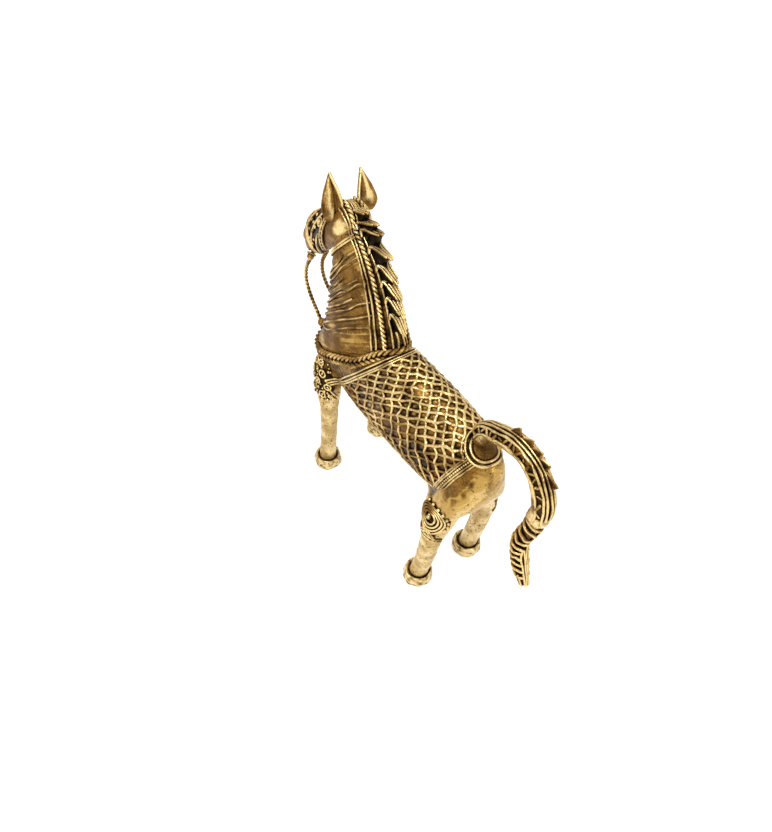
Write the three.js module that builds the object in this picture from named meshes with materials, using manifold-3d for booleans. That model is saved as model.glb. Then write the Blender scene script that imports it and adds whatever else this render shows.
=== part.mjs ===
// A brass horse figurine of the thread-work kind: a hollow lost-wax casting over a clay core, dressed in
// threads, twisted ropes and pellets. Millimetres, +Z up, +X towards the head, +Y to the horse's left.
// The origin is on the ground, under the middle of the overall length.
import * as THREE from "three";
import { mergeVertices } from "three/addons/utils/BufferGeometryUtils.js";
import Module from "manifold-3d";

const wasm = await Module();
wasm.setup();

// Driving dimensions: clearances and walls
const seatGap = 0.3;
const shellWall = 2.4;
const coreGap = 0.8;

// Driving dimensions: body
const hoofBase = 97;
const hoofTrack = 35;
const rumpOverhang = 23.5;
const chestOverhang = 15.5;
const bellyHeight = 62.5;
const barrelHeight = 55.5;
const barrelWidth = 33;
const girthDrop = 0.1;
const rumpTuck = 0.18;
const barrelSquareness = 3.2;
const barrelRoundness = 2.2;

// Driving dimensions: neck and head
const withersSetback = 58;
const neckRise = 53;
const neckReach = 42;
const neckDepth = 66;
const chestDrop = 36;
const throatReach = 10;
const throatDrop = 19;
const neckWidth = 33;
const pollWidth = 19;
const crestTaper = 0.28;
const browReach = 6;
const browRise = 5.5;
const headLength = 58.5;
const headWidth = 20;
const noseBulge = 8;
const muzzleDepth = 10.5;
const muzzleSlant = 8;
const earLength = 22.5;
const earSink = 0.6;
const earWidth = 10.5;
const earThickness = 1.8;
const earDish = 3.4;
const eyeDiameter = 4;

// Driving dimensions: legs, hooves and tail
const shankDiameter = 10;
const hoofDiameter = 16.4;
const hoofHeight = 7.2;
const hoofCupDepth = 3.2;
const hoofSlack = 0.7;
const shoulderRise = 12.5;
const foreStep = 5;
const foreSplay = 8;
const tailRise = 17.5;
const tailReach = 30;
const tailDrop = 62.5;
const tailDiameter = 9.4;
const crupperInset = 12.5;
const crupperRadius = 8.8;
const tailRootStep = 3.5;
const crupperStep = 2.7;
const crupperRingWidth = 1.8;
const crupperRingHeight = 1.6;

// Driving dimensions: threads, ropes and trimmings
const threadWidth = 1.5;
const threadHeight = 1.2;
const bandWidth = 3.4;
const ropeDiameter = 2.8;
const ropeLay = 9;
const reinDiameter = 2.4;
const reinBow = 4.5;
const pelletDiameter = 4;
const reinBossDiameter = 5;
const rosetteRadius = 3.9;
const hipCoilRadius = 6.5;
const hemHeight = 72;
const maneLockLength = 21;
const maneLockWidth = 6;
const maneLockThickness = 1.8;
const finHeight = 2.8;

// Counts
const diamondsAlong = 10;
const diamondsAround = 15;
const maneLocks = 7;
const neckBands = 4;
const tailTurns = 7;
const tailFins = 6;
const rosettePetals = 6;
const hipCoilTurns = 2;
const stepsPerTurn = 12;

const turn = Math.PI * 2;
const lerp = THREE.MathUtils.lerp;
const vec = (x, y, z) => new THREE.Vector3(x, y, z);
const across = vec(0, 1, 0);
const spread = (count, from, to) => Array.from({ length: count }, (_, i) => lerp(from, to, i / (count - 1)));
const spline = (points) => new THREE.CatmullRomCurve3(points.map((p) => vec(...p)));

// A closed skin over rings of points: capped at both ends, or joined end to end when it loops
function skin(rings, looped = false) {
  const sides = rings[0].length;
  const spans = looped ? rings.length : rings.length - 1;
  const index = [];
  for (let i = 0; i < spans; i++) {
    const here = i * sides;
    const next = ((i + 1) % rings.length) * sides;
    for (let k = 0; k < sides; k++) {
      const l = (k + 1) % sides;
      index.push(here + k, here + l, next + l, here + k, next + l, next + k);
    }
  }
  const last = (rings.length - 1) * sides;
  for (let k = 1; k < sides - 1 && !looped; k++) {
    index.push(0, k + 1, k, last, last + k, last + k + 1);
  }
  return facingOut(rings.flat(), index);
}

// A geometry of these points and triangles, turned round if its faces point inwards
function facingOut(points, index) {
  let volume = 0;
  for (let i = 0; i < index.length; i += 3) {
    const [a, b, c] = [points[index[i]], points[index[i + 1]], points[index[i + 2]]];
    volume += a.dot(b.clone().cross(c));
  }
  const geometry = new THREE.BufferGeometry().setFromPoints(points);
  return geometry.setIndex(volume < 0 ? index.reverse() : index);
}

// A geometry as a solid for cutting and joining, and a solid as a geometry
function solid(geometry) {
  const bare = geometry.clone();
  bare.deleteAttribute("normal");
  bare.deleteAttribute("uv");
  const merged = mergeVertices(bare, 1e-3);
  const vertProperties = new Float32Array(merged.attributes.position.array);
  const triVerts = new Uint32Array(merged.index.array);
  return new wasm.Manifold(new wasm.Mesh({ numProp: 3, vertProperties, triVerts }));
}

function geometryOf(shape) {
  const { vertProperties, triVerts } = shape.getMesh();
  const geometry = new THREE.BufferGeometry();
  geometry.setAttribute("position", new THREE.BufferAttribute(vertProperties, 3));
  return geometry.setIndex(new THREE.BufferAttribute(triVerts, 1));
}

// The largest of the bodies that a cut leaves, so that no sliver stays loose
function main(shape) {
  return shape.decompose().reduce((a, b) => (b.volume() > a.volume() ? b : a));
}

const cut = (geometry, ...tools) =>
  geometryOf(main(tools.reduce((left, tool) => left.subtract(tool), solid(geometry))));
const join = (...geometries) => geometryOf(geometries.map(solid).reduce((a, b) => a.add(b)));

// Forms: a form has at(t, angle), a point of its skin, and centre(t), the middle of that section

// A form whose sections span two outlines in the XZ plane; an upper outline point's Y is the half-width.
// Taper narrows the sections towards the upper outline.
function spanned(upperPoints, lowerPoints, taper = 0) {
  const upper = spline(upperPoints);
  const lower = spline(lowerPoints.map(([x, z]) => [x, 0, z]));
  const ends = (t) => [upper.getPoint(t), lower.getPoint(t)];
  return {
    centre(t) {
      const [a, b] = ends(t);
      return vec((a.x + b.x) / 2, 0, (a.z + b.z) / 2);
    },
    at(t, angle) {
      const [a, b] = ends(t);
      const half = Math.cos(angle) / 2;
      const middle = this.centre(t);
      const width = a.y * Math.sin(angle) * (1 - taper * Math.cos(angle));
      return vec(middle.x + (a.x - b.x) * half, width, middle.z + (a.z - b.z) * half);
    },
  };
}

// A form of oval sections square to a line, or level all along if upright; a radii point holds the radius
// along the body and across it. Angle 0 is behind a rising line.
function stem(centrePoints, radiiPoints, upright = false) {
  const line = spline(centrePoints);
  const radii = spline(radiiPoints.map(([along, side]) => [along, side, 0]));
  return {
    centre: (t) => line.getPoint(t),
    at(t, angle) {
      const tangent = upright ? vec(0, 0, 1) : line.getTangent(THREE.MathUtils.clamp(t, 0, 1));
      const back = across.clone().cross(tangent).negate().normalize();
      const side = tangent.clone().cross(back).normalize();
      const r = radii.getPoint(t);
      const point = line.getPoint(t).addScaledVector(back, r.x * Math.cos(angle));
      return point.addScaledVector(side, -r.y * Math.sin(angle));
    },
  };
}

// The outward normal of a form's skin, and a point that stands off the skin along it
function normalOf(form, t, angle) {
  const step = 2e-3;
  const before = Math.max(t - step, 0);
  const after = Math.min(t + step, 1);
  const along = form.at(after, angle).sub(form.at(before, angle));
  const round = form.at(t, angle + step).sub(form.at(t, angle - step));
  const normal = along.cross(round).normalize();
  return normal.dot(form.at(t, angle).sub(form.centre(t))) < 0 ? normal.negate() : normal;
}

const lifted = (form, t, angle, lift) =>
  form.at(t, angle).addScaledVector(normalOf(form, t, angle), lift);

// How far a form's skin runs for a unit of t, along a given angle
const pace = (form, t, angle = 0) => form.at(t + 0.01, angle).distanceTo(form.at(t - 0.01, angle)) / 0.02;

// How far a form's skin runs round for a unit of angle
const girth = (form, t, angle) => form.at(t, angle + 0.05).distanceTo(form.at(t, angle - 0.05)) / 0.1;

// The skin of a form, grown or shrunk by a lift
function shape(form, stations, sides, lift = 0) {
  const angles = Array.from({ length: sides }, (_, k) => (k / sides) * turn);
  return skin(stations.map((t) => angles.map((angle) => lifted(form, t, angle, lift))));
}

// Body forms

const foreX = hoofBase / 2;
const hindX = -hoofBase / 2;
const hoofY = hoofTrack / 2;
const rump = hindX - rumpOverhang;
const barrelLength = hoofBase + rumpOverhang + chestOverhang;
const barrelMiddle = vec(rump + barrelLength / 2, 0, bellyHeight + barrelHeight / 2);
const barrelTop = bellyHeight + barrelHeight;

const signedPower = (value, power) => Math.sign(value) * Math.abs(value) ** power;

// The barrel swells from rump to chest, with its girth deepest behind the fore legs and its belly tucked up
// below the rump; angle 0 is the top line and a quarter turn is the left flank
const barrel = {
  x: (t) => barrelMiddle.x - (Math.cos(t * Math.PI) * barrelLength) / 2,
  station: (x) => Math.acos((2 * (barrelMiddle.x - x)) / barrelLength) / Math.PI,
  swell: (t) => (1 - Math.abs(Math.cos(t * Math.PI)) ** barrelSquareness) ** (1 / barrelSquareness),
  centre: (t) => vec(barrel.x(t), 0, barrelMiddle.z),
  at(t, angle) {
    const swell = barrel.swell(t);
    const y = (signedPower(Math.sin(angle), 2 / barrelRoundness) * swell * barrelWidth) / 2;
    const lean = Math.cos(t * Math.PI);
    const lift = girthDrop * lean + rumpTuck * Math.max(lean, 0) ** 2;
    const deep = 1 - (lift * (1 - Math.cos(angle))) / 2;
    const z = (signedPower(Math.cos(angle), 2 / barrelRoundness) * swell * deep * barrelHeight) / 2;
    return vec(barrel.x(t), y, barrelMiddle.z + z);
  },
};

// The neck rises from the collar line, withers to chest, to the poll; angle 0 is the crest
const withers = vec(foreX + chestOverhang - withersSetback, 0, barrelTop - 1);
const chest = vec(withers.x + neckDepth, 0, barrelTop - chestDrop);
const poll = vec(withers.x + neckReach, 0, withers.z + neckRise);
const throat = vec(poll.x + throatReach, 0, poll.z - throatDrop);
const crestAt = (along, up, slim) => [
  lerp(withers.x, poll.x, along),
  lerp(neckWidth, pollWidth, slim) / 2,
  lerp(withers.z, poll.z, up),
];
const throatAt = (along, up) => [lerp(chest.x, throat.x, along), lerp(chest.z, throat.z, up)];
const neck = spanned(
  [
    [withers.x + 7, neckWidth / 2 - 2, withers.z - 14],
    crestAt(0, 0, 0),
    crestAt(0.14, 0.29, 0.3),
    crestAt(0.31, 0.54, 0.58),
    crestAt(0.53, 0.77, 0.8),
    crestAt(0.82, 0.95, 1),
    [poll.x, pollWidth / 2 - 1, poll.z],
  ],
  [
    [chest.x - 16, chest.z - 8],
    throatAt(0, 0),
    throatAt(0.3, 0.24),
    throatAt(0.5, 0.47),
    throatAt(0.65, 0.68),
    throatAt(0.8, 0.87),
    throatAt(1, 1),
  ],
  crestTaper,
);
const collarStation = 1 / 6;

// The head hangs from the poll; its nose line bulges, and angle 0 is the brow
const brow = vec(poll.x + browReach, 0, poll.z + browRise);
const nose = vec(poll.x + headLength * 0.8, 0, poll.z - headLength * 0.55);
const jowl = vec(throat.x + 5, 0, throat.z - 4);
const chin = vec(nose.x - muzzleSlant, 0, nose.z - muzzleDepth);
const noseAt = (along, bulge, wide) => [
  lerp(brow.x, nose.x, along),
  headWidth * wide,
  lerp(brow.z, nose.z, along) + noseBulge * bulge,
];
const jawAt = (along) => [lerp(jowl.x, chin.x, along), lerp(jowl.z, chin.z, along)];
const head = spanned(
  [
    [poll.x - 4, headWidth * 0.3, poll.z + 0.5],
    noseAt(0, 0, 0.48),
    noseAt(0.25, 0.55, 0.5),
    noseAt(0.5, 0.88, 0.42),
    noseAt(0.75, 1, 0.34),
    noseAt(0.93, 0.7, 0.33),
    noseAt(1, 0, 0.25),
  ],
  [
    [poll.x - 2, poll.z - 8],
    [throat.x - 3, throat.z + 2.5],
    jawAt(0),
    jawAt(0.4),
    jawAt(0.68),
    jawAt(0.88),
    jawAt(1),
  ],
);

// Legs stand in their hoof cups; the left one is drawn and the right one mirrors it
const shank = shankDiameter / 2;
const footZ = hoofHeight - hoofCupDepth + seatGap;
const legZ = (share) => lerp(footZ, bellyHeight, share);
const shoulderTop = chest.z + shoulderRise;
const ovals = (pairs) => pairs.map(([along, side]) => [shank * along, shank * side]);
const foreLeg = stem(
  [
    [foreX, hoofY, footZ],
    [foreX - 0.5, hoofY - 0.5, legZ(0.4)],
    [foreX + 0.5, hoofY - 1.5, legZ(0.78)],
    [foreX + 5, hoofY - 3.5, bellyHeight + 2],
    [foreX + 8, hoofY - 6, chest.z - threadWidth],
    [foreX + 6, hoofY - 13, shoulderTop],
  ],
  ovals([[1, 1], [0.96, 0.96], [1.08, 1.08], [1.9, 1.35], [1.6, 1.1], [0.8, 0.5]]),
  true,
);
const hindLeg = stem(
  [
    [hindX, hoofY, footZ],
    [hindX - 3.5, hoofY, legZ(0.4)],
    [hindX - 5, hoofY - 0.5, legZ(0.74)],
    [hindX - 3, hoofY - 5.5, bellyHeight + 2],
    [hindX - 1, hoofY - 10, bellyHeight + 11],
  ],
  ovals([[1, 1], [1.04, 1], [1.2, 1.05], [2.25, 1.35], [2.1, 0.9]]),
  true,
);

// The tail leaves the rump inside the crupper rings, forward of their middle, arches, falls behind the hind
// legs and flicks back at its tip. It is drawn from the tip up, and angle 0 is its outer side.
const crupperStation = barrel.station(rump + crupperInset);
const tailStation = barrel.station(rump + crupperInset + tailRootStep);
const tailSeat = barrel.at(tailStation, 0);
const tailAim = normalOf(barrel, tailStation, 0);
const tailRadius = tailDiameter / 2;
const tailBack = rump - tailReach + tailRadius;
const tailTop = barrelTop + tailRise - tailRadius;
const tailTip = barrelTop - tailDrop;
const tailAt = (along, down) => [lerp(rump, tailBack, along), 0, lerp(tailTop, tailTip, down)];
const tailShares = [0.45, 0.78, 0.8, 0.86, 1, 1, 1, 0.95, 0.88, 0.85];
const tail = stem(
  [
    tailAt(1.2, 1),
    tailAt(0.96, 0.85),
    tailAt(0.82, 0.68),
    tailAt(0.96, 0.43),
    tailAt(0.96, 0.21),
    tailAt(0.64, 0.045),
    tailAt(0.25, 0),
    tailAt(-0.18, 0.04),
    [tailSeat.x - 2, 0, lerp(tailSeat.z, tailTop, 0.5)],
    tailSeat.clone().addScaledVector(tailAim, -4).toArray(),
  ],
  tailShares.map((share) => [share * tailRadius, share * tailRadius]),
);

// Shells and core

const barrelStations = spread(17, 0.035, 0.965);
const neckStations = spread(13, 0, 1);
const headStations = spread(11, 0.01, 0.99);
const legStations = spread(11, 0, 1);
const tailStations = spread(19, 0, 1);
const barrelSides = 18;
const neckSides = 18;
const headSides = 12;
const legSides = 10;
const coreSides = 10;

const barrelSolid = (lift) => solid(shape(barrel, barrelStations, barrelSides, lift));
const neckSolid = (lift) => solid(shape(neck, neckStations, neckSides, lift));
const headSolid = (lift) => solid(shape(head, headStations, headSides, lift));
const legShape = (form, lift) => shape(form, legStations, legSides, lift);

function mirrored(geometry) {
  const copy = geometry.clone().scale(1, -1, 1);
  return copy.setIndex([...geometry.index.array].reverse());
}

// The right fore leg mirrors the left one, but its hoof stands forward of it and out
function stepped(geometry) {
  const copy = mirrored(geometry);
  const points = copy.attributes.position;
  for (let i = 0; i < points.count; i++) {
    const share = (shoulderTop - points.getZ(i)) / (shoulderTop - hoofHeight);
    const move = THREE.MathUtils.clamp(share, 0, 1);
    points.setXY(i, points.getX(i) + foreStep * move, points.getY(i) - foreSplay * move);
  }
  return copy;
}

// The hollow that the clay fills: the inside of the barrel and of the neck, as one space. A slack draws it
// in on every side.
function hollow(slack) {
  const ends = slack / 40;
  const inBarrel = shape(barrel, spread(11, 0.1 + ends, 0.9 - ends), coreSides, -shellWall - slack);
  const inNeck = shape(neck, spread(9, ends, 0.8 - ends), coreSides, -shellWall - slack);
  return solid(inBarrel).add(solid(inNeck));
}

const barrelGrown = barrelSolid(seatGap);
const neckGrown = neckSolid(seatGap);
const headGrown = headSolid(seatGap);
const cavity = hollow(0);

const barrelShell = cut(shape(barrel, barrelStations, barrelSides), cavity);
const neckShell = cut(shape(neck, neckStations, neckSides), barrelGrown, cavity);
const clayCore = geometryOf(hollow(coreGap));

const foreLegGrown = solid(legShape(foreLeg, seatGap));
const hindLegGrown = solid(legShape(hindLeg, seatGap));
const rightHindLegGrown = solid(mirrored(legShape(hindLeg, seatGap)));
const tailGrown = solid(shape(tail, tailStations, legSides, seatGap));

// Pellets are balls of metal; eyes are pellets half sunk in the head
const pellet = (centre, diameter) => new THREE.SphereGeometry(diameter / 2, 6, 4).translate(...centre);
const leftEye = pellet(head.at(0.4, turn * 0.19), eyeDiameter);
const headShape = cut(join(shape(head, headStations, headSides), leftEye, mirrored(leftEye)), neckGrown);

// An ear is a pointed leaf that opens backwards and leans forwards and in
function ear() {
  const outline = [[0, 0.45], [0.16, 0.75], [0.38, 1], [0.62, 0.82], [0.84, 0.42], [1, 0.08]];
  const base = lifted(head, 0.2, turn * 0.2, -earSink);
  const lean = vec(4, 0.5, earLength);
  const wide = vec(0.25, 0.97, 0);
  const open = vec(-0.97, 0.25, 0);
  const rings = outline.map(([rise, share]) => {
    const middle = base.clone().addScaledVector(lean, rise);
    const point = (side, thick) =>
      middle
        .clone()
        .addScaledVector(wide, (side * share * earWidth) / 2)
        .addScaledVector(open, share * (earDish * side * side - thick * earThickness));
    const inner = [-1, -0.5, 0, 0.5, 1].map((side) => point(side, 0));
    return [...inner, ...[0.6, 0, -0.6].map((side) => point(side, 1))];
  });
  return cut(skin(rings), headGrown, neckGrown);
}

// Threads and ropes

// A raised thread along a path of [t, angle] on a form; its section is [across, up] in shares of the width
// and the height
const singleThread = [[-0.5, 0], [-0.28, 1], [0.28, 1], [0.5, 0]];
const doubleThread = [[0, 0.35], [0.25, 1], [0.5, 0], [-0.5, 0], [-0.25, 1]];
const plainThread = {
  width: threadWidth,
  height: threadHeight,
  section: singleThread,
  lift: seatGap,
  looped: false,
};
function thread(form, path, style = {}) {
  const { width, height, section, lift, looped } = { ...plainThread, ...style };
  const middles = path.map(([t, angle]) => lifted(form, t, angle, lift));
  const count = path.length;
  const rings = path.map(([t, angle], i) => {
    const after = middles[looped ? (i + 1) % count : Math.min(i + 1, count - 1)];
    const before = middles[looped ? (i + count - 1) % count : Math.max(i - 1, 0)];
    const normal = normalOf(form, t, angle);
    const side = after.clone().sub(before).cross(normal).normalize();
    return section.map(([over, up]) =>
      middles[i].clone().addScaledVector(side, over * width).addScaledVector(normal, up * height),
    );
  });
  return skin(rings, looped);
}

// A thread wound on a form: along its path, the least clear gap between neighbouring turns is measured
function winding(name, form, path, style) {
  const points = path.map(([t, angle]) => form.at(t, angle));
  const apart = points.flatMap((p, i) => points.slice(i + stepsPerTurn / 2).map((q) => p.distanceTo(q)));
  console.log(`${name}: least gap between turns ${(Math.min(...apart) - threadWidth).toFixed(2)} mm`);
  return thread(form, path, style);
}

// A two-strand twisted rope along points with their normals
const ropeStepsPerLay = 6;
const ropeWaist = 0.56;
function rope(points, normals, diameter, hand = 1, looped = false) {
  const count = points.length;
  const length = points.reduce((sum, p, i) => sum + (i ? p.distanceTo(points[i - 1]) : 0), 0);
  const turns = Math.max(1, Math.round(length / ropeLay)) * hand;
  const rings = points.map((point, i) => {
    const after = points[looped ? (i + 1) % count : Math.min(i + 1, count - 1)];
    const before = points[looped ? (i + count - 1) % count : Math.max(i - 1, 0)];
    const side = after.clone().sub(before).cross(normals[i]).normalize();
    const twist = (i / (looped ? count : count - 1)) * turns * turn;
    const strand = side.clone().multiplyScalar(Math.cos(twist)).addScaledVector(normals[i], Math.sin(twist));
    const gap = side.clone().multiplyScalar(-Math.sin(twist)).addScaledVector(normals[i], Math.cos(twist));
    return [[1, 0], [0, -hand * ropeWaist], [-1, 0], [0, hand * ropeWaist]].map(([a, b]) =>
      point.clone().addScaledVector(strand, (a * diameter) / 2).addScaledVector(gap, (b * diameter) / 2),
    );
  });
  return skin(rings, looped);
}

// A rope laid on a form along a path function of u, from 0 to 1
function laidRope(form, pathAt, { length, hand = 1, looped = false }) {
  const steps = Math.round((length / ropeLay) * ropeStepsPerLay);
  const path = Array.from({ length: steps }, (_, i) => pathAt(i / (looped ? steps : steps - 1)));
  const points = path.map(([t, angle]) => lifted(form, t, angle, seatGap + ropeDiameter / 2));
  const normals = path.map(([t, angle]) => normalOf(form, t, angle));
  return rope(points, normals, ropeDiameter, hand, looped);
}

// The blanket of crossed threads

// The blanket's edges lean forward as they fall; its rear edge steps forward at the top, round the crupper
const rearLean = 0.3;
const frontLean = 0.86;
const frontSetback = 2.2;
const crupperFront = barrel.x(crupperStation + (crupperRadius + bandWidth) / pace(barrel, crupperStation));
const blanketRear = (z) => {
  const drop = barrelTop - z;
  const plain = rump + crupperInset - threadWidth + rearLean * drop;
  return plain + (crupperFront - plain) * Math.exp(-((drop / crupperRadius) ** 2));
};
const blanketFront = (z) => withers.x - frontSetback + frontLean * (barrelTop - z);
const hemShare = (barrelMiddle.z - hemHeight) / (barrelHeight / 2);
const hemAngle = Math.PI - Math.acos(hemShare ** (barrelRoundness / 2));

// A point of the blanket as the barrel's [t, angle]: along it from rear to front and around it from hem to
// hem. An inset draws its edges in by a distance.
const edgeSlant = 0.75;
function blanketPlace(along, around, inset = 0) {
  const hem = hemAngle - inset / girth(barrel, 0.5, hemAngle);
  const angle = lerp(-hem, hem, around);
  const z = barrelMiddle.z + (signedPower(Math.cos(angle), 2 / barrelRoundness) * barrelHeight) / 2;
  const edge = inset / edgeSlant;
  return [barrel.station(lerp(blanketRear(z) + edge, blanketFront(z) - edge, along)), angle];
}

// Crossed threads with diamond gaps between them: each thread has a ridge, and a foot on either side of it
function lattice() {
  const columns = 2 * diamondsAlong;
  const rows = 2 * diamondsAround;
  const inset = (bandWidth + threadWidth) / 2 + seatGap;
  const points = [];
  const index = [];
  const known = new Map();
  const place = (i, j) => blanketPlace(i / columns, j / rows, inset);
  const once = (key, make) => {
    if (!known.has(key)) {
      known.set(key, points.push(make()) - 1);
    }
    return known.get(key);
  };
  const ridgeLift = seatGap + threadHeight;
  const ridge = (i, j) => once(`ridge ${i} ${j}`, () => lifted(barrel, ...place(i, j), ridgeLift));
  const foot = (i, j, ci, cj) =>
    once(`foot ${i} ${j} ${ci} ${cj}`, () => {
      const crossing = lifted(barrel, ...place(i, j), seatGap);
      const gap = lifted(barrel, ...place(ci, cj), seatGap);
      const reach = (threadWidth * Math.SQRT1_2) / crossing.distanceTo(gap);
      return lifted(barrel, ...place(lerp(i, ci, reach), lerp(j, cj, reach)), seatGap);
    });
  const inside = (i, j) => i >= 0 && i <= columns && j >= 0 && j <= rows;
  for (let i = 0; i < columns; i++) {
    for (let j = 0; j < rows; j++) {
      const rising = (i + j) % 2 === 0;
      const [a, b] = rising ? [[i, j], [i + 1, j + 1]] : [[i, j + 1], [i + 1, j]];
      const [left, right] = rising ? [[i, j + 1], [i + 1, j]] : [[i + 1, j + 1], [i, j]];
      const [ra, rb] = [ridge(...a), ridge(...b)];
      const [la, lb] = [foot(...a, ...left), foot(...b, ...left)];
      const [qa, qb] = [foot(...a, ...right), foot(...b, ...right)];
      index.push(ra, rb, lb, ra, lb, la, rb, ra, qa, rb, qa, qb, la, lb, qb, la, qb, qa);
    }
  }
  for (let i = 0; i <= columns; i++) {
    for (let j = i % 2; j <= rows; j += 2) {
      const around = [[i + 1, j], [i, j + 1], [i - 1, j], [i, j - 1]];
      const gaps = around.map((gap) => inside(...gap) && foot(i, j, ...gap));
      const open = gaps.findIndex((g, k) => g === false && gaps[(k + 1) % 4] !== false);
      const feet = gaps.map((_, k) => gaps[(open + 1 + k) % 4]).filter((g) => g !== false);
      for (let k = 1; k < feet.length - 1; k++) {
        index.push(feet[0], feet[k + 1], feet[k]);
      }
      if (feet.length < 4) {
        index.push(ridge(i, j), feet[feet.length - 1], feet[0]);
      }
    }
  }
  return facingOut(points, index);
}

const bandSteps = spread(21, 0, 1);
const hemSteps = spread(15, 0.05, 0.95);
const bandStyle = { width: bandWidth, section: doubleThread };
const blanketBand = (along) => thread(barrel, bandSteps.map((u) => blanketPlace(along, u)), bandStyle);
const blanketHem = (around) => thread(barrel, hemSteps.map((u) => blanketPlace(u, around)));

// Neck dressing

const ringPath = (t, steps) => Array.from({ length: steps }, (_, i) => [t, (i / steps) * turn]);
const collarPitch = 0.036;
const collarLength = 180;
const collarRope = (t, hand) =>
  laidRope(neck, (u) => [t, u * turn], { length: collarLength, hand, looped: true });
const crestFrom = collarStation + 0.08;
const crestTo = 0.9;
const crestLength = 74;
const maneRopeAngle = 0.5;
const maneThreadAngle = 0.8;
const crestAlong = (u) => lerp(crestFrom, crestTo, u);
const maneRope = laidRope(neck, (u) => [crestAlong(u), maneRopeAngle], { length: crestLength });
const maneThread = thread(neck, spread(14, 0, 1).map((u) => [crestAlong(u), maneThreadAngle]));

// A band round the throat from one mane thread to the other
const bandsFrom = 0.36;
const bandsTo = 0.74;
function neckBand(t, style) {
  const start = maneThreadAngle + (threadWidth + seatGap) / girth(neck, t, maneThreadAngle);
  return thread(neck, spread(17, start, turn - start).map((angle) => [t, angle]), style);
}

// A lock of the mane is a grooved tongue that lifts off the crest towards its tip, over the root of the next
const maneFirst = 0.93;
const maneLast = 0.4;
const maneLiftRate = 0.34;
function maneLock(k) {
  const root = lerp(maneFirst, maneLast, k / (maneLocks - 1));
  const start = lifted(neck, root, 0, seatGap);
  const normal = normalOf(neck, root, 0);
  const down = neck.at(root - 0.06, 0).sub(neck.at(root, 0)).normalize();
  const outline = [[0, 0.5, 1], [0.3, 1, 1], [0.7, 0.85, 0.9], [1, 0.25, 0.5]];
  const rings = outline.map(([run, wide, deep]) => {
    const rise = run * maneLockLength * maneLiftRate;
    const middle = start.clone().addScaledVector(down, run * maneLockLength).addScaledVector(normal, rise);
    const section = [[0, 0.62], [0.25, 1], [0.5, 0.6], [0.45, 0], [-0.45, 0], [-0.5, 0.6], [-0.25, 1]];
    return section.map(([over, up]) =>
      middle
        .clone()
        .addScaledVector(across, over * maneLockWidth * wide)
        .addScaledVector(normal, up * maneLockThickness * deep),
    );
  });
  return skin(rings);
}

// Straps of the bridle, bosses for the bit and the reins
const throatStrapAt = 0.87;
const nosebandAt = 0.72;
const bitAt = 0.96;
const throatStrap = cut(neckBand(throatStrapAt, bandStyle), headGrown);
const noseband = thread(head, ringPath(nosebandAt, 16), { ...bandStyle, looped: true });
const cheekStrapPath = spread(9, 0, 1).map((u) => [lerp(0.26, 0.49, u), turn * lerp(0.15, 0.42, u)]);
const cheekStrap = cut(thread(head, cheekStrapPath, bandStyle), neckGrown);
const bitPlace = lifted(head, bitAt, turn * 0.4, seatGap + pelletDiameter / 2);
const bitBoss = pellet(bitPlace, pelletDiameter);
const reinBossPlace = lifted(neck, collarStation + 0.1, turn * 0.45, seatGap + reinBossDiameter / 2);
const reinBoss = pellet(reinBossPlace, reinBossDiameter);

// A rein hangs from the bit, bows forward and swings back to its boss, which it meets square on
const reinSteps = 24;
const reinAim = vec(0.6, 0.1, 0.8).normalize();
function rein() {
  const top = bitPlace.clone().add(vec(0, 0, -pelletDiameter / 2 - seatGap));
  const foot = reinBossPlace.clone().addScaledVector(reinAim, reinBossDiameter / 2 + seatGap);
  const line = spline([
    top.toArray(),
    [top.x + reinBow, lerp(top.y, foot.y, 0.1), lerp(top.z, foot.z, 0.28)],
    [top.x + reinBow * 0.9, lerp(top.y, foot.y, 0.3), lerp(top.z, foot.z, 0.55)],
    [lerp(top.x, foot.x, 0.23), lerp(top.y, foot.y, 0.6), lerp(top.z, foot.z, 0.8)],
    foot.clone().addScaledVector(reinAim, 2 * reinDiameter).toArray(),
    foot.toArray(),
  ]);
  const points = line.getSpacedPoints(reinSteps);
  return rope(points, points.map(() => across), reinDiameter);
}

// Rosettes on the shoulders: pellets in a ring around a larger one
const outside = turn / 4;
const shoulderAt = 0.6;
const petalDiameter = 1.15 * pelletDiameter;
const rosetteBossDiameter = 1.35 * pelletDiameter;
function shoulderRosette() {
  const [t, angle] = [shoulderAt, outside];
  const along = pace(foreLeg, t, angle);
  const round = girth(foreLeg, t, angle);
  const petals = Array.from({ length: rosettePetals }, (_, k) => {
    const way = (k / rosettePetals) * turn;
    const up = t + (Math.sin(way) * rosetteRadius) / along;
    const over = angle + (Math.cos(way) * rosetteRadius) / round;
    return pellet(lifted(foreLeg, up, over, seatGap), petalDiameter);
  });
  const boss = pellet(lifted(foreLeg, t, angle, seatGap), rosetteBossDiameter);
  return cut(join(boss, ...petals), foreLegGrown, barrelGrown);
}

// Rosettes on the hips: one thread wound outwards into a drop-shaped coil
const hipAt = 0.76;
const hipCoilStretch = 1.3;
function hipRosette() {
  const [t, angle] = [hipAt, outside];
  const path = spread(hipCoilTurns * stepsPerTurn + 1, 0, 1).map((u) => {
    const way = u * hipCoilTurns * turn;
    const reach = lerp(threadWidth, hipCoilRadius, u);
    return [
      t + (Math.sin(way) * reach * hipCoilStretch) / pace(hindLeg, t, angle),
      angle + (Math.cos(way) * reach) / girth(hindLeg, t, angle),
    ];
  });
  return winding("hip rosette", hindLeg, path);
}

// A garter crosses the outer side of the hind leg, below the rosette
const garterAt = 0.56;
const garterReach = turn * 0.29;
const garterAngles = spread(11, outside - garterReach, outside + garterReach);
const garter = thread(hindLeg, garterAngles.map((angle) => [garterAt, angle]), {
  ...bandStyle,
  lift: 2 * seatGap,
});

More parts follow.
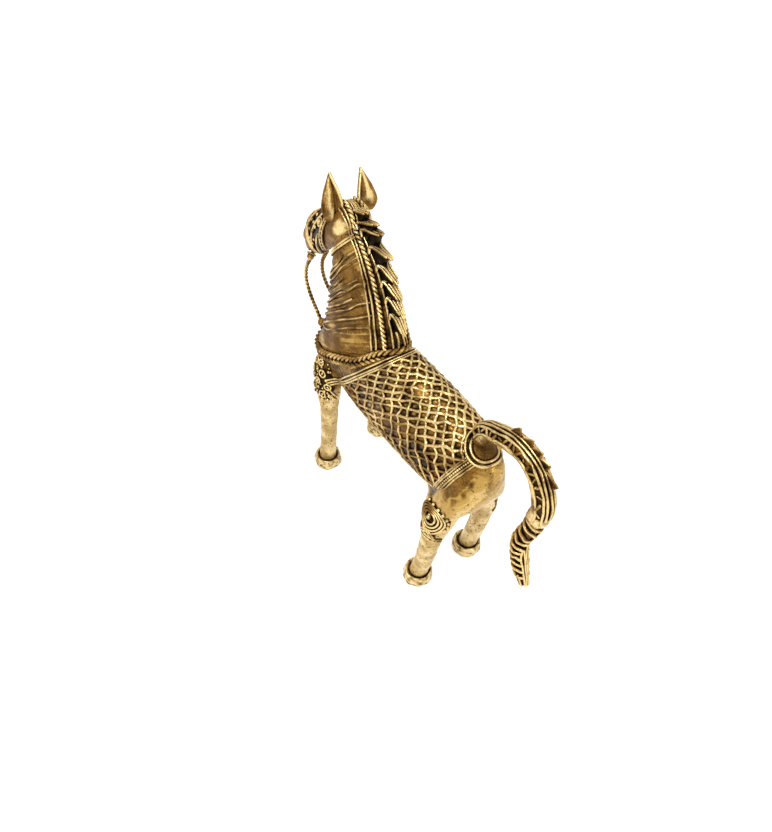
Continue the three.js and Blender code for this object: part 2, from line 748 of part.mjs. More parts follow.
// Tail dressing: cords along both sides of the arch, a winding round the fall, and fins along the outer side
const cordFrom = 0.36;
const cordTo = 0.88;
const windingFrom = 0.06;
const windingTo = 0.32;
const windingLift = seatGap + 0.1;
const finsFrom = 0.46;
const finSpan = 0.064;
const finBase = 2.4;
const tailCord = thread(tail, spread(17, cordFrom, cordTo).map((t) => [t, outside]), bandStyle);
const tailWindingPath = spread(tailTurns * stepsPerTurn + 1, 0, 1).map((u) => [
  lerp(windingFrom, windingTo, u),
  u * tailTurns * turn,
]);
const tailWinding = winding("tail winding", tail, tailWindingPath, { lift: windingLift });
function tailFinRidge() {
  const saw = spread(tailFins, 0, tailFins - 1)
    .map((k) => [[k, 1], [k + 0.12, 0.28], [k + 0.5, 0.32], [k + 0.9, 0.4]])
    .flat();
  const rings = saw.map(([place, height]) => {
    const t = finsFrom + place * finSpan;
    const normal = normalOf(tail, t, 0);
    const foot = lifted(tail, t, 0, seatGap);
    return singleThread.map(([over, up]) =>
      foot.clone().addScaledVector(across, over * finBase).addScaledVector(normal, up * height * finHeight),
    );
  });
  return skin(rings);
}

// Crupper rings on the rump, round the root of the tail
function crupperRing(radius) {
  const along = pace(barrel, crupperStation);
  const round = girth(barrel, crupperStation, 0.1);
  const path = Array.from({ length: 18 }, (_, k) => (k / 18) * turn).map((way) => [
    crupperStation + (Math.cos(way) * radius) / along,
    (Math.sin(way) * radius) / round,
  ]);
  return thread(barrel, path, { width: crupperRingWidth, height: crupperRingHeight, looped: true });
}

// A hoof is a cup around the foot of its leg
const hoofRadius = hoofDiameter / 2;
const hoofCup = shank + hoofSlack;
const hoofFloor = hoofHeight - hoofCupDepth;
const hoof = new THREE.LatheGeometry(
  [
    [0, 0],
    [hoofRadius * 0.95, 0],
    [hoofRadius, hoofHeight * 0.12],
    [hoofRadius * 0.92, hoofHeight * 0.82],
    [hoofRadius * 0.82, hoofHeight],
    [hoofCup + seatGap, hoofHeight],
    [hoofCup, hoofFloor],
    [0, hoofFloor],
  ].map(([r, z]) => new THREE.Vector2(r, z)),
  12,
).rotateX(Math.PI / 2);

// The assembly

const figure = new THREE.Group();

function add(name, geometry, [color, roughness, metalness]) {
  const mesh = new THREE.Mesh(geometry, new THREE.MeshStandardMaterial({ color, roughness, metalness }));
  mesh.name = name;
  figure.add(mesh);
}

function addPair(name, geometry, finish) {
  add(`left_${name}`, geometry, finish);
  add(`right_${name}`, mirrored(geometry), finish);
}

const brightBrass = [0xb8924a, 0.35, 1];
const darkBrass = [0x7a5a2c, 0.5, 1];
const paleBrass = [0xb59a62, 0.55, 1];
const firedClay = [0x6b4a38, 0.95, 0];

add("barrel_shell", barrelShell, darkBrass);
add("neck_shell", neckShell, darkBrass);
add("clay_core", clayCore, firedClay);
add("head", headShape, brightBrass);
addPair("ear", ear(), brightBrass);
add("left_fore_leg", cut(legShape(foreLeg, 0), barrelGrown, neckGrown), paleBrass);
add("right_fore_leg", cut(stepped(legShape(foreLeg, 0)), barrelGrown, neckGrown), paleBrass);
addPair("hind_leg", cut(legShape(hindLeg, 0), barrelGrown), paleBrass);
const foreHoof = hoof.clone().translate(foreX, hoofY, 0);
add("left_fore_hoof", foreHoof, brightBrass);
add("right_fore_hoof", stepped(foreHoof), brightBrass);
addPair("hind_hoof", hoof.clone().translate(hindX, hoofY, 0), brightBrass);
add("tail", cut(shape(tail, tailStations, legSides), barrelGrown), darkBrass);
add("tail_fin_ridge", tailFinRidge(), brightBrass);
addPair("tail_cord", tailCord, brightBrass);
add("tail_winding", tailWinding, brightBrass);
add("crupper_ring_outer", crupperRing(crupperRadius), brightBrass);
add("crupper_ring_inner", cut(crupperRing(crupperRadius - crupperStep), tailGrown), brightBrass);
add("blanket_lattice", lattice(), brightBrass);
add("blanket_front_band", blanketBand(1), brightBrass);
add("blanket_rear_band", cut(blanketBand(0), hindLegGrown, rightHindLegGrown), brightBrass);
addPair("blanket_hem", cut(blanketHem(1), hindLegGrown), brightBrass);
add("collar_rope_upper", cut(collarRope(collarStation + collarPitch, 1), barrelGrown), brightBrass);
add("collar_rope_lower", cut(collarRope(collarStation, -1), barrelGrown), brightBrass);
addPair("mane_rope", maneRope, brightBrass);
addPair("mane_thread", cut(maneThread, headGrown), brightBrass);
for (let k = 0; k < maneLocks; k++) {
  add(`mane_lock_${k + 1}`, cut(maneLock(k), headGrown), brightBrass);
}
for (let k = 0; k < neckBands; k++) {
  add(`neck_band_${k + 1}`, neckBand(lerp(bandsFrom, bandsTo, k / (neckBands - 1))), darkBrass);
}
add("throat_strap", throatStrap, brightBrass);
add("noseband", noseband, brightBrass);
addPair("cheek_strap", cheekStrap, brightBrass);
addPair("bit_boss", bitBoss, brightBrass);
addPair("rein_boss", reinBoss, brightBrass);
addPair("rein", rein(), brightBrass);
add("left_shoulder_rosette", shoulderRosette(), brightBrass);
add("right_shoulder_rosette", cut(stepped(shoulderRosette()), barrelGrown), brightBrass);
addPair("hip_rosette", hipRosette(), brightBrass);
addPair("garter", garter, brightBrass);

const middle = new THREE.Box3().setFromObject(figure).getCenter(vec(0, 0, 0));
figure.position.set(-middle.x, -middle.y, 0);

export default figure;
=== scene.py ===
import bmesh
import bpy
import math
import numpy as np
from mathutils import Matrix, Vector
from mathutils.bvhtree import BVHTree


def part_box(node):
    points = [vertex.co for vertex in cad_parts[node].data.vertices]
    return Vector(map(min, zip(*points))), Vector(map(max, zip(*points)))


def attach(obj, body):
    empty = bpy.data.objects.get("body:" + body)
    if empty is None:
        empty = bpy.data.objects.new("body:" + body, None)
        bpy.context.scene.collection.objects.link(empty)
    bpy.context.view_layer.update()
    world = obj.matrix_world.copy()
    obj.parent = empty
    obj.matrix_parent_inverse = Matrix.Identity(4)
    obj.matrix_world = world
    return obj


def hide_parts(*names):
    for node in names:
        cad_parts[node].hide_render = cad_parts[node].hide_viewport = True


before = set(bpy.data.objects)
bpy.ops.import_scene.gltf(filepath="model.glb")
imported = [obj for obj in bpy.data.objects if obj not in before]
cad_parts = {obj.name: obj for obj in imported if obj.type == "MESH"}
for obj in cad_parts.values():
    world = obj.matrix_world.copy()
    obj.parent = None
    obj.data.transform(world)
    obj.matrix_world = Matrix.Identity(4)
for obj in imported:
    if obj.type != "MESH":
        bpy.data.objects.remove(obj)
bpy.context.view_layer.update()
print("frame loaded")

mm = 0.001
turn = 2 * math.pi
outward = turn / 4  # the angle on a leg that faces away from the horse
across = np.array([0.0, 1.0, 0.0])


# Shapes are worked out in millimetres about the middle of the hooves, which the CAD frame gives
def middleOf(node):
    low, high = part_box(node)
    return (np.array(low) + np.array(high)) / 2 / mm


foreHoof, hindHoof = middleOf("left_fore_hoof"), middleOf("left_hind_hoof")
farHindHoof = middleOf("right_hind_hoof")
origin = np.array([(foreHoof[0] + hindHoof[0]) / 2, (hindHoof[1] + farHindHoof[1]) / 2, 0.0])


def mix(a, b, share):
    return a + (b - a) * share


def unit(v):
    return v / np.maximum(np.linalg.norm(v, axis=-1, keepdims=True), 1e-12)


def distance(points, place):
    return np.linalg.norm(points - place, axis=-1)


def signedPower(value, power):
    return np.sign(value) * np.abs(value) ** power


def smooth(low, high, value):
    share = np.clip((value - low) / (high - low), 0, 1)
    return share * share * (3 - 2 * share)


# 1 at the middle, falling off softly to both sides
def bump(value, middle, width):
    return np.exp(-(((value - middle) / width) ** 2))


def circle(count):
    return np.arange(count) / count * turn


# How far an angle is from the top line, to either side
def fromTop(angle):
    return np.minimum(angle, turn - angle)


def paired(t, angle):
    return np.broadcast_arrays(np.asarray(t, float), np.asarray(angle, float))


# A slow random drift between -1 and 1, the same on each run
def drift(count, seed, knots):
    picks = np.random.default_rng(seed).uniform(-1, 1, knots + 2)
    place = np.linspace(0, knots, count)
    step = np.minimum(place.astype(int), knots)
    return mix(picks[step], picks[step + 1], smooth(0, 1, place - step))


# Uneven hand-worked surface: waves in many directions, about -1 to 1
def dents(points, size, seed=3):
    waves = 14
    picks = np.random.default_rng(seed)
    total = np.zeros(points.shape[:-1])
    for _ in range(waves):
        way = unit(picks.normal(size=3)) * turn / (size * picks.uniform(0.7, 1.5))
        total += np.sin(points @ way + picks.uniform(0, turn))
    return total / math.sqrt(waves)


# A curve through points, evenly smooth however they are spaced
def spline(points):
    knots = np.array(points, dtype=float)
    padded = np.vstack([2 * knots[0] - knots[1], knots, 2 * knots[-1] - knots[-2]])

    def at(t):
        place = np.clip(np.asarray(t, dtype=float), 0, 1) * (len(knots) - 1)
        step = np.minimum(place.astype(int), len(knots) - 2)
        w = (place - step)[..., None]
        a, b, c, d = (padded[step + k] for k in range(4))
        gaps = [np.sqrt(np.linalg.norm(q - p, axis=-1, keepdims=True)) for p, q in ((a, b), (b, c), (c, d))]
        u, v, x = (np.maximum(g, 1e-4) for g in gaps)
        m = ((b - a) / u - (c - a) / (u + v) + (c - b) / v) * v
        n = ((c - b) / v - (d - b) / (v + x) + (d - c) / x) * v
        return b + m * w + (-3 * b + 3 * c - 2 * m - n) * w ** 2 + (2 * b - 2 * c + m + n) * w ** 3

    return at


# A form is a skin: at(t, angle) is a point of it and centre(t) the middle of that section
class Form:
    def __init__(self, at, centre):
        self.at = at
        self.centre = centre

    def normal(self, t, angle):
        step = 2e-3
        t, angle = paired(t, angle)
        along = self.at(np.minimum(t + step, 1), angle) - self.at(np.maximum(t - step, 0), angle)
        around = self.at(t, angle + step) - self.at(t, angle - step)
        normal = unit(np.cross(along, around))
        facing = np.sum(normal * (self.at(t, angle) - self.centre(t)), axis=-1, keepdims=True)
        return np.where(facing < 0, -normal, normal)

    # Points so far off the skin, and the normals there
    def laid(self, t, angle, lift=0.0):
        t, angle = paired(t, angle)
        normal = self.normal(t, angle)
        return self.at(t, angle) + normal * np.broadcast_to(lift, t.shape)[..., None], normal

    # Millimetres to a whole t along the form, and to a radian round it
    def pace(self, t, angle):
        return float(distance(self.at(t + 0.01, angle), self.at(t - 0.01, angle))) / 0.02

    def girth(self, t, angle):
        return float(distance(self.at(t, angle + 0.05), self.at(t, angle - 0.05))) / 0.1


# Sections that span two outlines in the XZ plane; an upper point's Y is its half-width
def spanned(upperPoints, lowerPoints, taper=0.0):
    upper, lower = spline(upperPoints), spline([[x, 0, z] for x, z in lowerPoints])
    flat = np.array([1.0, 0.0, 1.0])

    def centre(t):
        return (upper(t) + lower(t)) / 2 * flat

    def at(t, angle):
        t, angle = paired(t, angle)
        a, b = upper(t), lower(t)
        point = centre(t) + (a - b) * flat * (np.cos(angle) / 2)[..., None]
        point[..., 1] = a[..., 1] * np.sin(angle) * (1 - taper * np.cos(angle))
        return point

    return Form(at, centre)


# Oval sections square to a line, or level all along if upright; angle 0 is behind a rising line
def stem(centrePoints, radiiPoints, upright=False):
    line, radii = spline(centrePoints), spline([[a, b, 0] for a, b in radiiPoints])

    def at(t, angle):
        t, angle = paired(t, angle)
        tangent = unit(line(t + 1e-4) - line(t - 1e-4))
        if upright:
            tangent = np.broadcast_to([0.0, 0.0, 1.0], tangent.shape)
        back = -unit(np.cross(across, tangent))
        side = unit(np.cross(tangent, back))
        deep, wide = radii(t)[..., 0] * np.cos(angle), radii(t)[..., 1] * np.sin(angle)
        return line(t) + back * deep[..., None] - side * wide[..., None]

    return Form(at, line)


# The ways beside a path and out of it
def bearings(points, normals, looped):
    if looped:
        way = unit(np.roll(points, -1, axis=0) - np.roll(points, 1, axis=0))
    else:
        way = unit(np.gradient(points, axis=0))
    side = unit(np.cross(way, normals))
    return side, unit(np.cross(side, way))


# The same path moved sideways over the surface
def beside(points, normals, shift):
    return points + bearings(points, normals, False)[0] * np.asarray(shift, float).reshape(-1, 1)


def mirrored(points):
    return points * np.array([1.0, -1.0, 1.0])


# Wax is a gathering of points, faces and two marks per point: shine for crests polished by hands and for
# painted highlights, stain for dark ground, which is patina in places and painted shade in creases, gaps and
# under raised parts
class Wax:
    def __init__(self):
        self.points, self.faces, self.shine, self.stainAndShade = [], [], [], []
        self.count = 0

    def gather(self, points, faces, shine, stainAndShade):
        points = np.reshape(points, (-1, 3))
        self.points.append(points)
        self.faces.extend([[self.count + k for k in face] for face in faces])
        for marks, values in ((self.shine, shine), (self.stainAndShade, stainAndShade)):
            marks.append(np.broadcast_to(np.reshape(values, -1), len(points)))
        self.count += len(points)

    # Rings of points, one after another; open ends close with domes of these heights
    def skin(self, rings, shine=0.5, stainAndShade=0.0, looped=False, domes=(0.0, 0.0)):
        marks = [np.broadcast_to(mark, rings.shape[:2]) for mark in (shine, stainAndShade)]
        capShares = (0.04, 0.4, 0.7, 0.9)
        for dome in () if looped else domes:  # each end in turn comes first and gets its dome
            middle = rings[0].mean(axis=0)
            way = unit(middle - rings[1].mean(axis=0)) * dome
            out = rings[0] - middle
            caps = [middle + out * share + way * math.sqrt(1 - share ** 2) for share in capShares]
            rings = np.concatenate([caps, rings])[::-1]
            marks = [np.concatenate([np.repeat(mark[:1], len(caps), axis=0), mark])[::-1] for mark in marks]
        count, sides = rings.shape[:2]
        index = np.arange(count * sides).reshape(count, sides)
        here, following = (index, np.roll(index, -1, axis=0)) if looped else (index[:-1], index[1:])
        corners = (here, following, np.roll(following, -1, axis=1), np.roll(here, -1, axis=1))
        faces = np.stack(corners, axis=-1).reshape(-1, 4).tolist()
        if not looped:
            faces += [index[0].tolist(), index[-1].tolist()]
        self.gather(rings, faces, *marks)

    # A round wire along points; normals tell which way is out
    def wire(self, points, normals, radius, looped=False, glow=0.0, sides=8):
        side, out = bearings(points, normals, looped)
        radius = np.broadcast_to(radius, len(points))
        angles = circle(sides)[:, None]
        reach = side[:, None] * np.cos(angles) + out[:, None] * np.sin(angles)
        rings = points[:, None] + reach * radius[:, None, None]
        shine = 0.5 + 0.5 * np.sum(unit(reach) * unit(normals)[:, None], axis=-1) + np.reshape(glow, (-1, 1))
        self.skin(rings, shine, looped=looped, domes=(0.8 * radius[0], 0.8 * radius[-1]))

    # Two strands twisted round each other along points
    def rope(self, points, normals, diameter, lay, hand=1, looped=False, glow=0.0):
        side, out = bearings(points, normals, looped)
        run = np.concatenate([[0.0], np.cumsum(np.linalg.norm(np.diff(points, axis=0), axis=1))])
        length = run[-1] + (np.linalg.norm(points[0] - points[-1]) if looped else 0.0)
        turns = max(1, round(length / lay)) if looped else length / lay
        strand = 0.27 * diameter
        for start in (0.0, 0.5):
            twist = (hand * turns * turn * run / length + start * turn)[:, None]
            line = points + (side * np.cos(twist) + out * np.sin(twist)) * (diameter / 2 - strand)
            self.wire(line, out, strand, looped, glow)

    # A pellet sitting on a surface
    def pellet(self, centre, normal, radius, squash=0.85):
        side = unit(np.cross(normal, [0.3, 0.5, 0.81]))
        other = np.cross(normal, side)
        lifts = np.linspace(-0.5, 0.46, 7)[:, None, None] * math.pi
        angles = circle(12)[:, None]
        reach = (side * np.cos(angles) + other * np.sin(angles)) * np.maximum(np.cos(lifts), 0.03)
        rings = centre + (normal * np.sin(lifts) * squash + reach) * radius
        self.skin(rings, 0.5 + 0.5 * np.sin(lifts[..., 0]))

    # A small ring lying on a surface
    def ring(self, centre, normal, radius, thick, stretch=(1.0, 1.0), up=(0.0, 0.0, 1.0)):
        side = unit(np.cross(up, normal))
        other = np.cross(normal, side)
        angles = circle(20)[:, None]
        points = centre + (side * np.cos(angles) * stretch[0] + other * np.sin(angles) * stretch[1]) * radius
        self.wire(points, np.broadcast_to(normal, points.shape), thick, looped=True)


# Shader maths: a socket with the usual operators
def operator(operation, flipped=False):
    def act(self, other):
        return self.apply(operation, other, flipped)

    return act


class Value:
    def __init__(self, paint, socket):
        self.paint = paint
        self.socket = socket

    def apply(self, operation, other, flipped=False):
        ends = (other, self) if flipped else (self, other)
        return self.paint.node("ShaderNodeMath", {"operation": operation}, dict(enumerate(ends)))

    __add__ = __radd__ = operator("ADD")
    __sub__ = operator("SUBTRACT")
    __rsub__ = operator("SUBTRACT", flipped=True)
    __mul__ = __rmul__ = operator("MULTIPLY")

    def ramp(self, low, high):
        inputs = {"Value": self, "From Min": low, "From Max": high}
        return self.paint.node("ShaderNodeMapRange", {"interpolation_type": "SMOOTHSTEP"}, inputs)


# A material or a world being painted; node() adds any node and hands back its first or named output
class Paint:
    def __init__(self, owner):
        owner.use_nodes = True
        self.owner = owner
        self.tree = owner.node_tree

    def node(self, kind, settings=None, inputs=None, output=0):
        made = self.tree.nodes.new(kind)
        for key, value in (settings or {}).items():
            setattr(made, key, value)
        self.feed(made, inputs or {})
        return Value(self, made.outputs[output])

    def feed(self, made, inputs):
        for key, value in inputs.items():
            if isinstance(value, Value):
                self.tree.links.new(value.socket, made.inputs[key])
            else:
                made.inputs[key].default_value = value

    def blend(self, share, a, b):
        ends = [(*v, 1.0) if isinstance(v, tuple) else v for v in (a, b)]
        return self.node("ShaderNodeMix", {"data_type": "RGBA"}, {0: share, 6: ends[0], 7: ends[1]}, output=2)

    def noise(self, size, detail=3.0, rough=0.55, stretch=None):
        place = self.node("ShaderNodeTexCoord", output="Object")
        if stretch:
            place = self.node("ShaderNodeVectorMath", {"operation": "MULTIPLY"}, {0: place, 1: stretch})
        inputs = {"Vector": place, "Scale": 1 / (size * mm), "Detail": detail, "Roughness": rough}
        return self.node("ShaderNodeTexNoise", None, inputs)

    def mark(self, name):
        return self.node("ShaderNodeAttribute", {"attribute_name": name}, output="Fac")

    def hollow(self, reach):
        return self.node("ShaderNodeAmbientOcclusion", {"samples": 8}, {"Distance": reach * mm}, output="AO")

    # 1 for rays that see the stage, straight or in a mirror, and 0 for those that light the horse
    def seen(self):
        kinds = ("Camera", "Glossy", "Transmission")
        first, second, third = (self.node("ShaderNodeLightPath", output=f"Is {kind} Ray") for kind in kinds)
        return first.apply("MAXIMUM", second).apply("MAXIMUM", third)


# Old brass: bright where hands rub it and where highlights are painted, brown between, black in the hollows,
# which is patina with painted shade from ambient occlusion
def brass(name, s):
    paint = Paint(bpy.data.materials.new(name))
    shine, stainAndShade = paint.mark("shine"), paint.mark("stainAndShade")
    # painted shade: ambient occlusion blackens the small hollows and, over a wider reach, darkens crevices
    # between parts and undersides
    clear = paint.hollow(s["reach"]).ramp(*s["hollow"])
    shade = paint.hollow(s["reach"] * 5).ramp(*s["shade"])
    blotch = paint.noise(s["blotch"], 4.0)
    patch = paint.noise(s["blotch"] * 2.2, 2.0)
    grain = paint.noise(s["grain"], 3.0)
    pits = paint.noise(s["grain"] * 1.5, 2.0).ramp(*s["pits"])
    lightened = (shine + (blotch - 0.5) * s["wander"] + (grain - 0.5) * 0.35).ramp(*s["crest"])
    ground = paint.blend((blotch + (grain - 0.5) * 0.6).ramp(0.34, 0.66), s["brown"], s["gold"])
    colour = paint.blend(lightened, ground, s["bright"])
    colour = paint.blend((shine + (grain - 0.5) * 0.5).ramp(1.1, 1.7), colour, s["pale"])
    colour = paint.blend(pits * s["pitShare"], colour, s["dark"])
    # the dark ground colour goes where the stain mark is high, on patina and on painted shade alike
    stainAndShadeColour = paint.blend((patch + (grain - 0.5) * 0.3).ramp(0.45, 0.65), s["black"], s["amber"])
    colour = paint.blend(stainAndShade, colour, stainAndShadeColour)
    colour = paint.blend(stainAndShade.ramp(1.1, 1.9), colour, s["black"])
    colour = paint.blend(shade, s["dark"], colour)
    colour = paint.blend(clear, s["black"], colour)
    dull = 1 - lightened * clear
    height = grain * s["pit"] - pits * s["pit"] * 2.0 + paint.noise(s["grain"] * 3.2, 2.0) * s["pit"] * 1.6
    if "scrape" in s:
        height = height + paint.noise(s["scrape"], 3.0, 0.6, (0.15, 0.15, 1.0)) * s["scrapeDepth"]
    relief = {"Strength": 0.9, "Distance": mm, "Height": height}
    paint.feed(paint.tree.nodes["Principled BSDF"], {
        "Base Color": colour,
        "Metallic": s["metal"] + (1 - clear) * (1 - s["metal"]),
        "Roughness": s["polish"] + dull * (s["matte"] - s["polish"]) + (grain - 0.5) * 0.3,
        "Specular IOR Level": 0.25,
        "Normal": paint.node("ShaderNodeBump", None, relief, output="Normal"),
    })
    return paint.owner


trimBrass = brass("trimBrass", {
    "pale": (0.86, 0.66, 0.33), "bright": (0.84, 0.62, 0.27), "gold": (0.36, 0.195, 0.042),
    "brown": (0.14, 0.066, 0.012), "dark": (0.05, 0.024, 0.006), "amber": (0.17, 0.08, 0.014),
    "black": (0.01, 0.006, 0.002), "reach": 1.4, "hollow": (0.2, 0.85), "shade": (0.1, 0.75),
    "blotch": 9.0, "grain": 0.7, "wander": 0.8, "crest": (0.66, 1.05), "pits": (0.6, 0.7), "pitShare": 0.35,
    "metal": 0.85, "polish": 0.24, "matte": 0.5, "pit": 0.06,
})
bodyBrass = brass("bodyBrass", {
    "pale": (0.7, 0.49, 0.19), "bright": (0.47, 0.285, 0.07), "gold": (0.27, 0.135, 0.024),
    "brown": (0.13, 0.06, 0.008), "dark": (0.04, 0.02, 0.005), "amber": (0.17, 0.08, 0.014),
    "black": (0.01, 0.006, 0.002), "reach": 2.2, "hollow": (0.2, 0.75), "shade": (0.0, 0.5),
    "blotch": 8.0, "grain": 1.1, "wander": 1.0, "crest": (0.5, 1.0), "pits": (0.6, 0.68), "pitShare": 0.6,
    "metal": 0.95, "polish": 0.3, "matte": 0.5, "pit": 0.12, "scrape": 2.0, "scrapeDepth": 0.3,
})
legBrass = brass("legBrass", {
    "pale": (0.86, 0.66, 0.33), "bright": (0.84, 0.64, 0.31), "gold": (0.68, 0.49, 0.2),
    "brown": (0.5, 0.33, 0.12), "dark": (0.13, 0.07, 0.022), "amber": (0.17, 0.08, 0.014),
    "black": (0.02, 0.012, 0.005), "reach": 1.8, "hollow": (0.15, 0.7), "shade": (0.0, 0.5),
    "blotch": 6.0, "grain": 0.9, "wander": 0.7, "crest": (0.3, 0.85), "pits": (0.6, 0.66), "pitShare": 0.85,
    "metal": 0.7, "polish": 0.34, "matte": 0.5, "pit": 0.16,
})


def clay(name, s):
    paint = Paint(bpy.data.materials.new(name))
    colour = paint.blend(paint.noise(s["speck"], 4.0), s["dark"], s["light"])
    paint.feed(paint.tree.nodes["Principled BSDF"], {"Base Color": colour, "Roughness": s["rough"]})
    return paint.owner


coreClay = clay("coreClay", {
    "dark": (0.16, 0.08, 0.045), "light": (0.34, 0.2, 0.12), "speck": 3.0, "rough": 0.95,
})
print("materials: trimBrass, bodyBrass, legBrass, coreClay")


def meshOf(name, points, faces):
    mesh = bpy.data.meshes.new(name)
    mesh.from_pydata(points.tolist(), [], faces)
    work = bmesh.new()
    work.from_mesh(mesh)
    bmesh.ops.recalc_face_normals(work, faces=work.faces)
    work.to_mesh(mesh)
    work.free()
    return mesh


def linked(name, data):
    made = bpy.data.objects.new(name, data)
    bpy.context.scene.collection.objects.link(made)
    return made


# A piece of wax becomes a metal object that rides on the horse's one body
def cast(wax, node, place=None, slot="trim_brass", material=trimBrass):
    points = np.concatenate(wax.points)
    points = place(points) if place else points
    mesh = meshOf(node + "_cast", (points + origin) * mm, wax.faces)
    for name, marks in (("shine", wax.shine), ("stainAndShade", wax.stainAndShade)):
        values = np.concatenate(marks).astype(np.float32)
        mesh.attributes.new(name, "FLOAT", "POINT").data.foreach_set("value", values)
    mesh.polygons.foreach_set("use_smooth", [True] * len(mesh.polygons))
    mesh.materials.append(material)
    piece = linked(node + "_cast", mesh)
    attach(piece, "root")
    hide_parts(node)


# The same wax on the horse's left and, mirrored or stepped, on its right
def castPair(wax, node, place=mirrored, **look):
    cast(wax, "left_" + node, **look)
    cast(wax, "right_" + node, place, **look)


# Closed skins melted into one, with soft fillets where they meet
def melted(skins, voxel, rounds, softness):
    wax = Wax()
    for rings, domes in skins:
        wax.skin(rings, domes=domes)
    mesh = meshOf("blank", np.concatenate(wax.points), wax.faces)
    blank = linked("blank", mesh)
    melt = blank.modifiers.new("melt", "REMESH")
    melt.mode = "VOXEL"
    melt.voxel_size = voxel
    bpy.context.view_layer.update()
    done = blank.evaluated_get(bpy.context.evaluated_depsgraph_get())
    made = done.to_mesh()
    points, ends = np.empty(len(made.vertices) * 3), np.empty(len(made.edges) * 2, dtype=np.int32)
    made.vertices.foreach_get("co", points)
    made.edges.foreach_get("vertices", ends)
    faces = np.array([list(face.vertices) for face in made.polygons])
    done.to_mesh_clear()
    bpy.data.objects.remove(blank)
    bpy.data.meshes.remove(mesh)
    points, (a, b) = points.reshape(-1, 3), ends.reshape(-1, 2).T

    # sums of rows over the points that they belong to
    def summed(index, rows):
        return np.stack([np.bincount(index, rows[:, k], len(points)) for k in range(3)], axis=1)

    share = np.bincount(np.concatenate([a, b]), minlength=len(points))[:, None]
    for _ in range(rounds):
        near = (summed(a, points[b]) + summed(b, points[a])) / share
        points = mix(points, near, 0.6 * softness(points)[:, None])
    corners = points[faces]
    facing = np.cross(corners[:, 2] - corners[:, 0], corners[:, 3] - corners[:, 1])
    return points, unit(summed(faces.ravel(), np.repeat(facing, 4, axis=0))), faces


# The barrel: a hollow body, deepest behind the fore legs; angle 0 is its top line
hooves = {"base": 97.0, "track": 35.0, "radius": 8.2, "height": 7.2, "cup": 5.7}
foreX, hindX, hoofY = hooves["base"] / 2, -hooves["base"] / 2, hooves["track"] / 2
body = {
    "rumpOverhang": 23.5, "chestOverhang": 15.5, "belly": 62.5, "height": 55.5, "width": 33.0,
    "girthDrop": 0.1, "rumpTuck": 0.18, "squareness": 3.2, "roundness": 2.2,
}
rump = hindX - body["rumpOverhang"]
barrelLength = hooves["base"] + body["rumpOverhang"] + body["chestOverhang"]
barrelMiddle = np.array([rump + barrelLength / 2, 0.0, body["belly"] + body["height"] / 2])
barrelTop = body["belly"] + body["height"]


def barrelX(t):
    return barrelMiddle[0] - np.cos(np.asarray(t) * math.pi) * barrelLength / 2


def barrelStation(x):
    return np.arccos(np.clip(2 * (barrelMiddle[0] - np.asarray(x)) / barrelLength, -1, 1)) / math.pi


def barrelSwell(t):
    return np.maximum(1 - np.abs(np.cos(t * math.pi)) ** body["squareness"], 0) ** (1 / body["squareness"])


def barrelAt(t, angle):
    t, angle = paired(t, angle)
    lean, swell, power = np.cos(t * math.pi), barrelSwell(t), 2 / body["roundness"]
    y = signedPower(np.sin(angle), power) * swell * body["width"] / 2
    lift = body["girthDrop"] * lean + body["rumpTuck"] * np.maximum(lean, 0) ** 2
    deep = 1 - lift * (1 - np.cos(angle)) / 2
    z = signedPower(np.cos(angle), power) * swell * deep * body["height"] / 2
    return np.stack([barrelX(t), y, barrelMiddle[2] + z], axis=-1)


def barrelCentre(t):
    x = barrelX(t)
    return np.stack([x, 0 * x, 0 * x + barrelMiddle[2]], axis=-1)


barrel = Form(barrelAt, barrelCentre)

# The neck, withers to poll; angle 0 is the crest
neckSizes = {
    "setback": 58.0, "rise": 53.0, "reach": 42.0, "depth": 66.0, "drop": 36.0, "throatReach": 10.0,
    "throatDrop": 19.0, "width": 33.0, "pollWidth": 19.0, "taper": 0.28, "collar": 1 / 6,
}
withers = np.array([foreX + body["chestOverhang"] - neckSizes["setback"], 0.0, barrelTop - 1])
chest = np.array([withers[0] + neckSizes["depth"], 0.0, barrelTop - neckSizes["drop"]])
poll = withers + np.array([neckSizes["reach"], 0.0, neckSizes["rise"]])
throat = poll + np.array([neckSizes["throatReach"], 0.0, -neckSizes["throatDrop"]])


def crestAt(along, up, slim):
    half = mix(neckSizes["width"], neckSizes["pollWidth"], slim) / 2
    return [mix(withers[0], poll[0], along), half, mix(withers[2], poll[2], up)]


def throatAt(along, up):
    return [mix(chest[0], throat[0], along), mix(chest[2], throat[2], up)]


crestRun = ((0, 0, 0), (0.14, 0.29, 0.3), (0.31, 0.54, 0.58), (0.53, 0.77, 0.8), (0.82, 0.95, 1))
gulletRun = ((0, 0), (0.3, 0.24), (0.5, 0.47), (0.65, 0.68), (0.8, 0.87), (1, 1))
neck = spanned(
    [
        [withers[0] + 7, neckSizes["width"] / 2 - 2, withers[2] - 14],
        *(crestAt(*shares) for shares in crestRun),
        [poll[0], neckSizes["pollWidth"] / 2 - 1, poll[2]],
    ],
    [[chest[0] - 16, chest[2] - 8], *(throatAt(*shares) for shares in gulletRun)],
    neckSizes["taper"],
)

# The head, poll to muzzle; angle 0 is the brow
headSizes = {
    "browReach": 6.0, "browRise": 5.5, "length": 58.5, "width": 20.0, "bulge": 8.0, "muzzle": 10.5,
    "slant": 8.0,
}
brow = poll + np.array([headSizes["browReach"], 0.0, headSizes["browRise"]])
nose = poll + np.array([headSizes["length"] * 0.8, 0.0, -headSizes["length"] * 0.55])
jowl = throat + np.array([5.0, 0.0, -4.0])
chin = nose - np.array([headSizes["slant"], 0.0, headSizes["muzzle"]])


def noseAt(along, bulge, wide):
    z = mix(brow[2], nose[2], along) + headSizes["bulge"] * bulge
    return [mix(brow[0], nose[0], along), headSizes["width"] * wide, z]


def jawAt(along):
    return [mix(jowl[0], chin[0], along), mix(jowl[2], chin[2], along)]


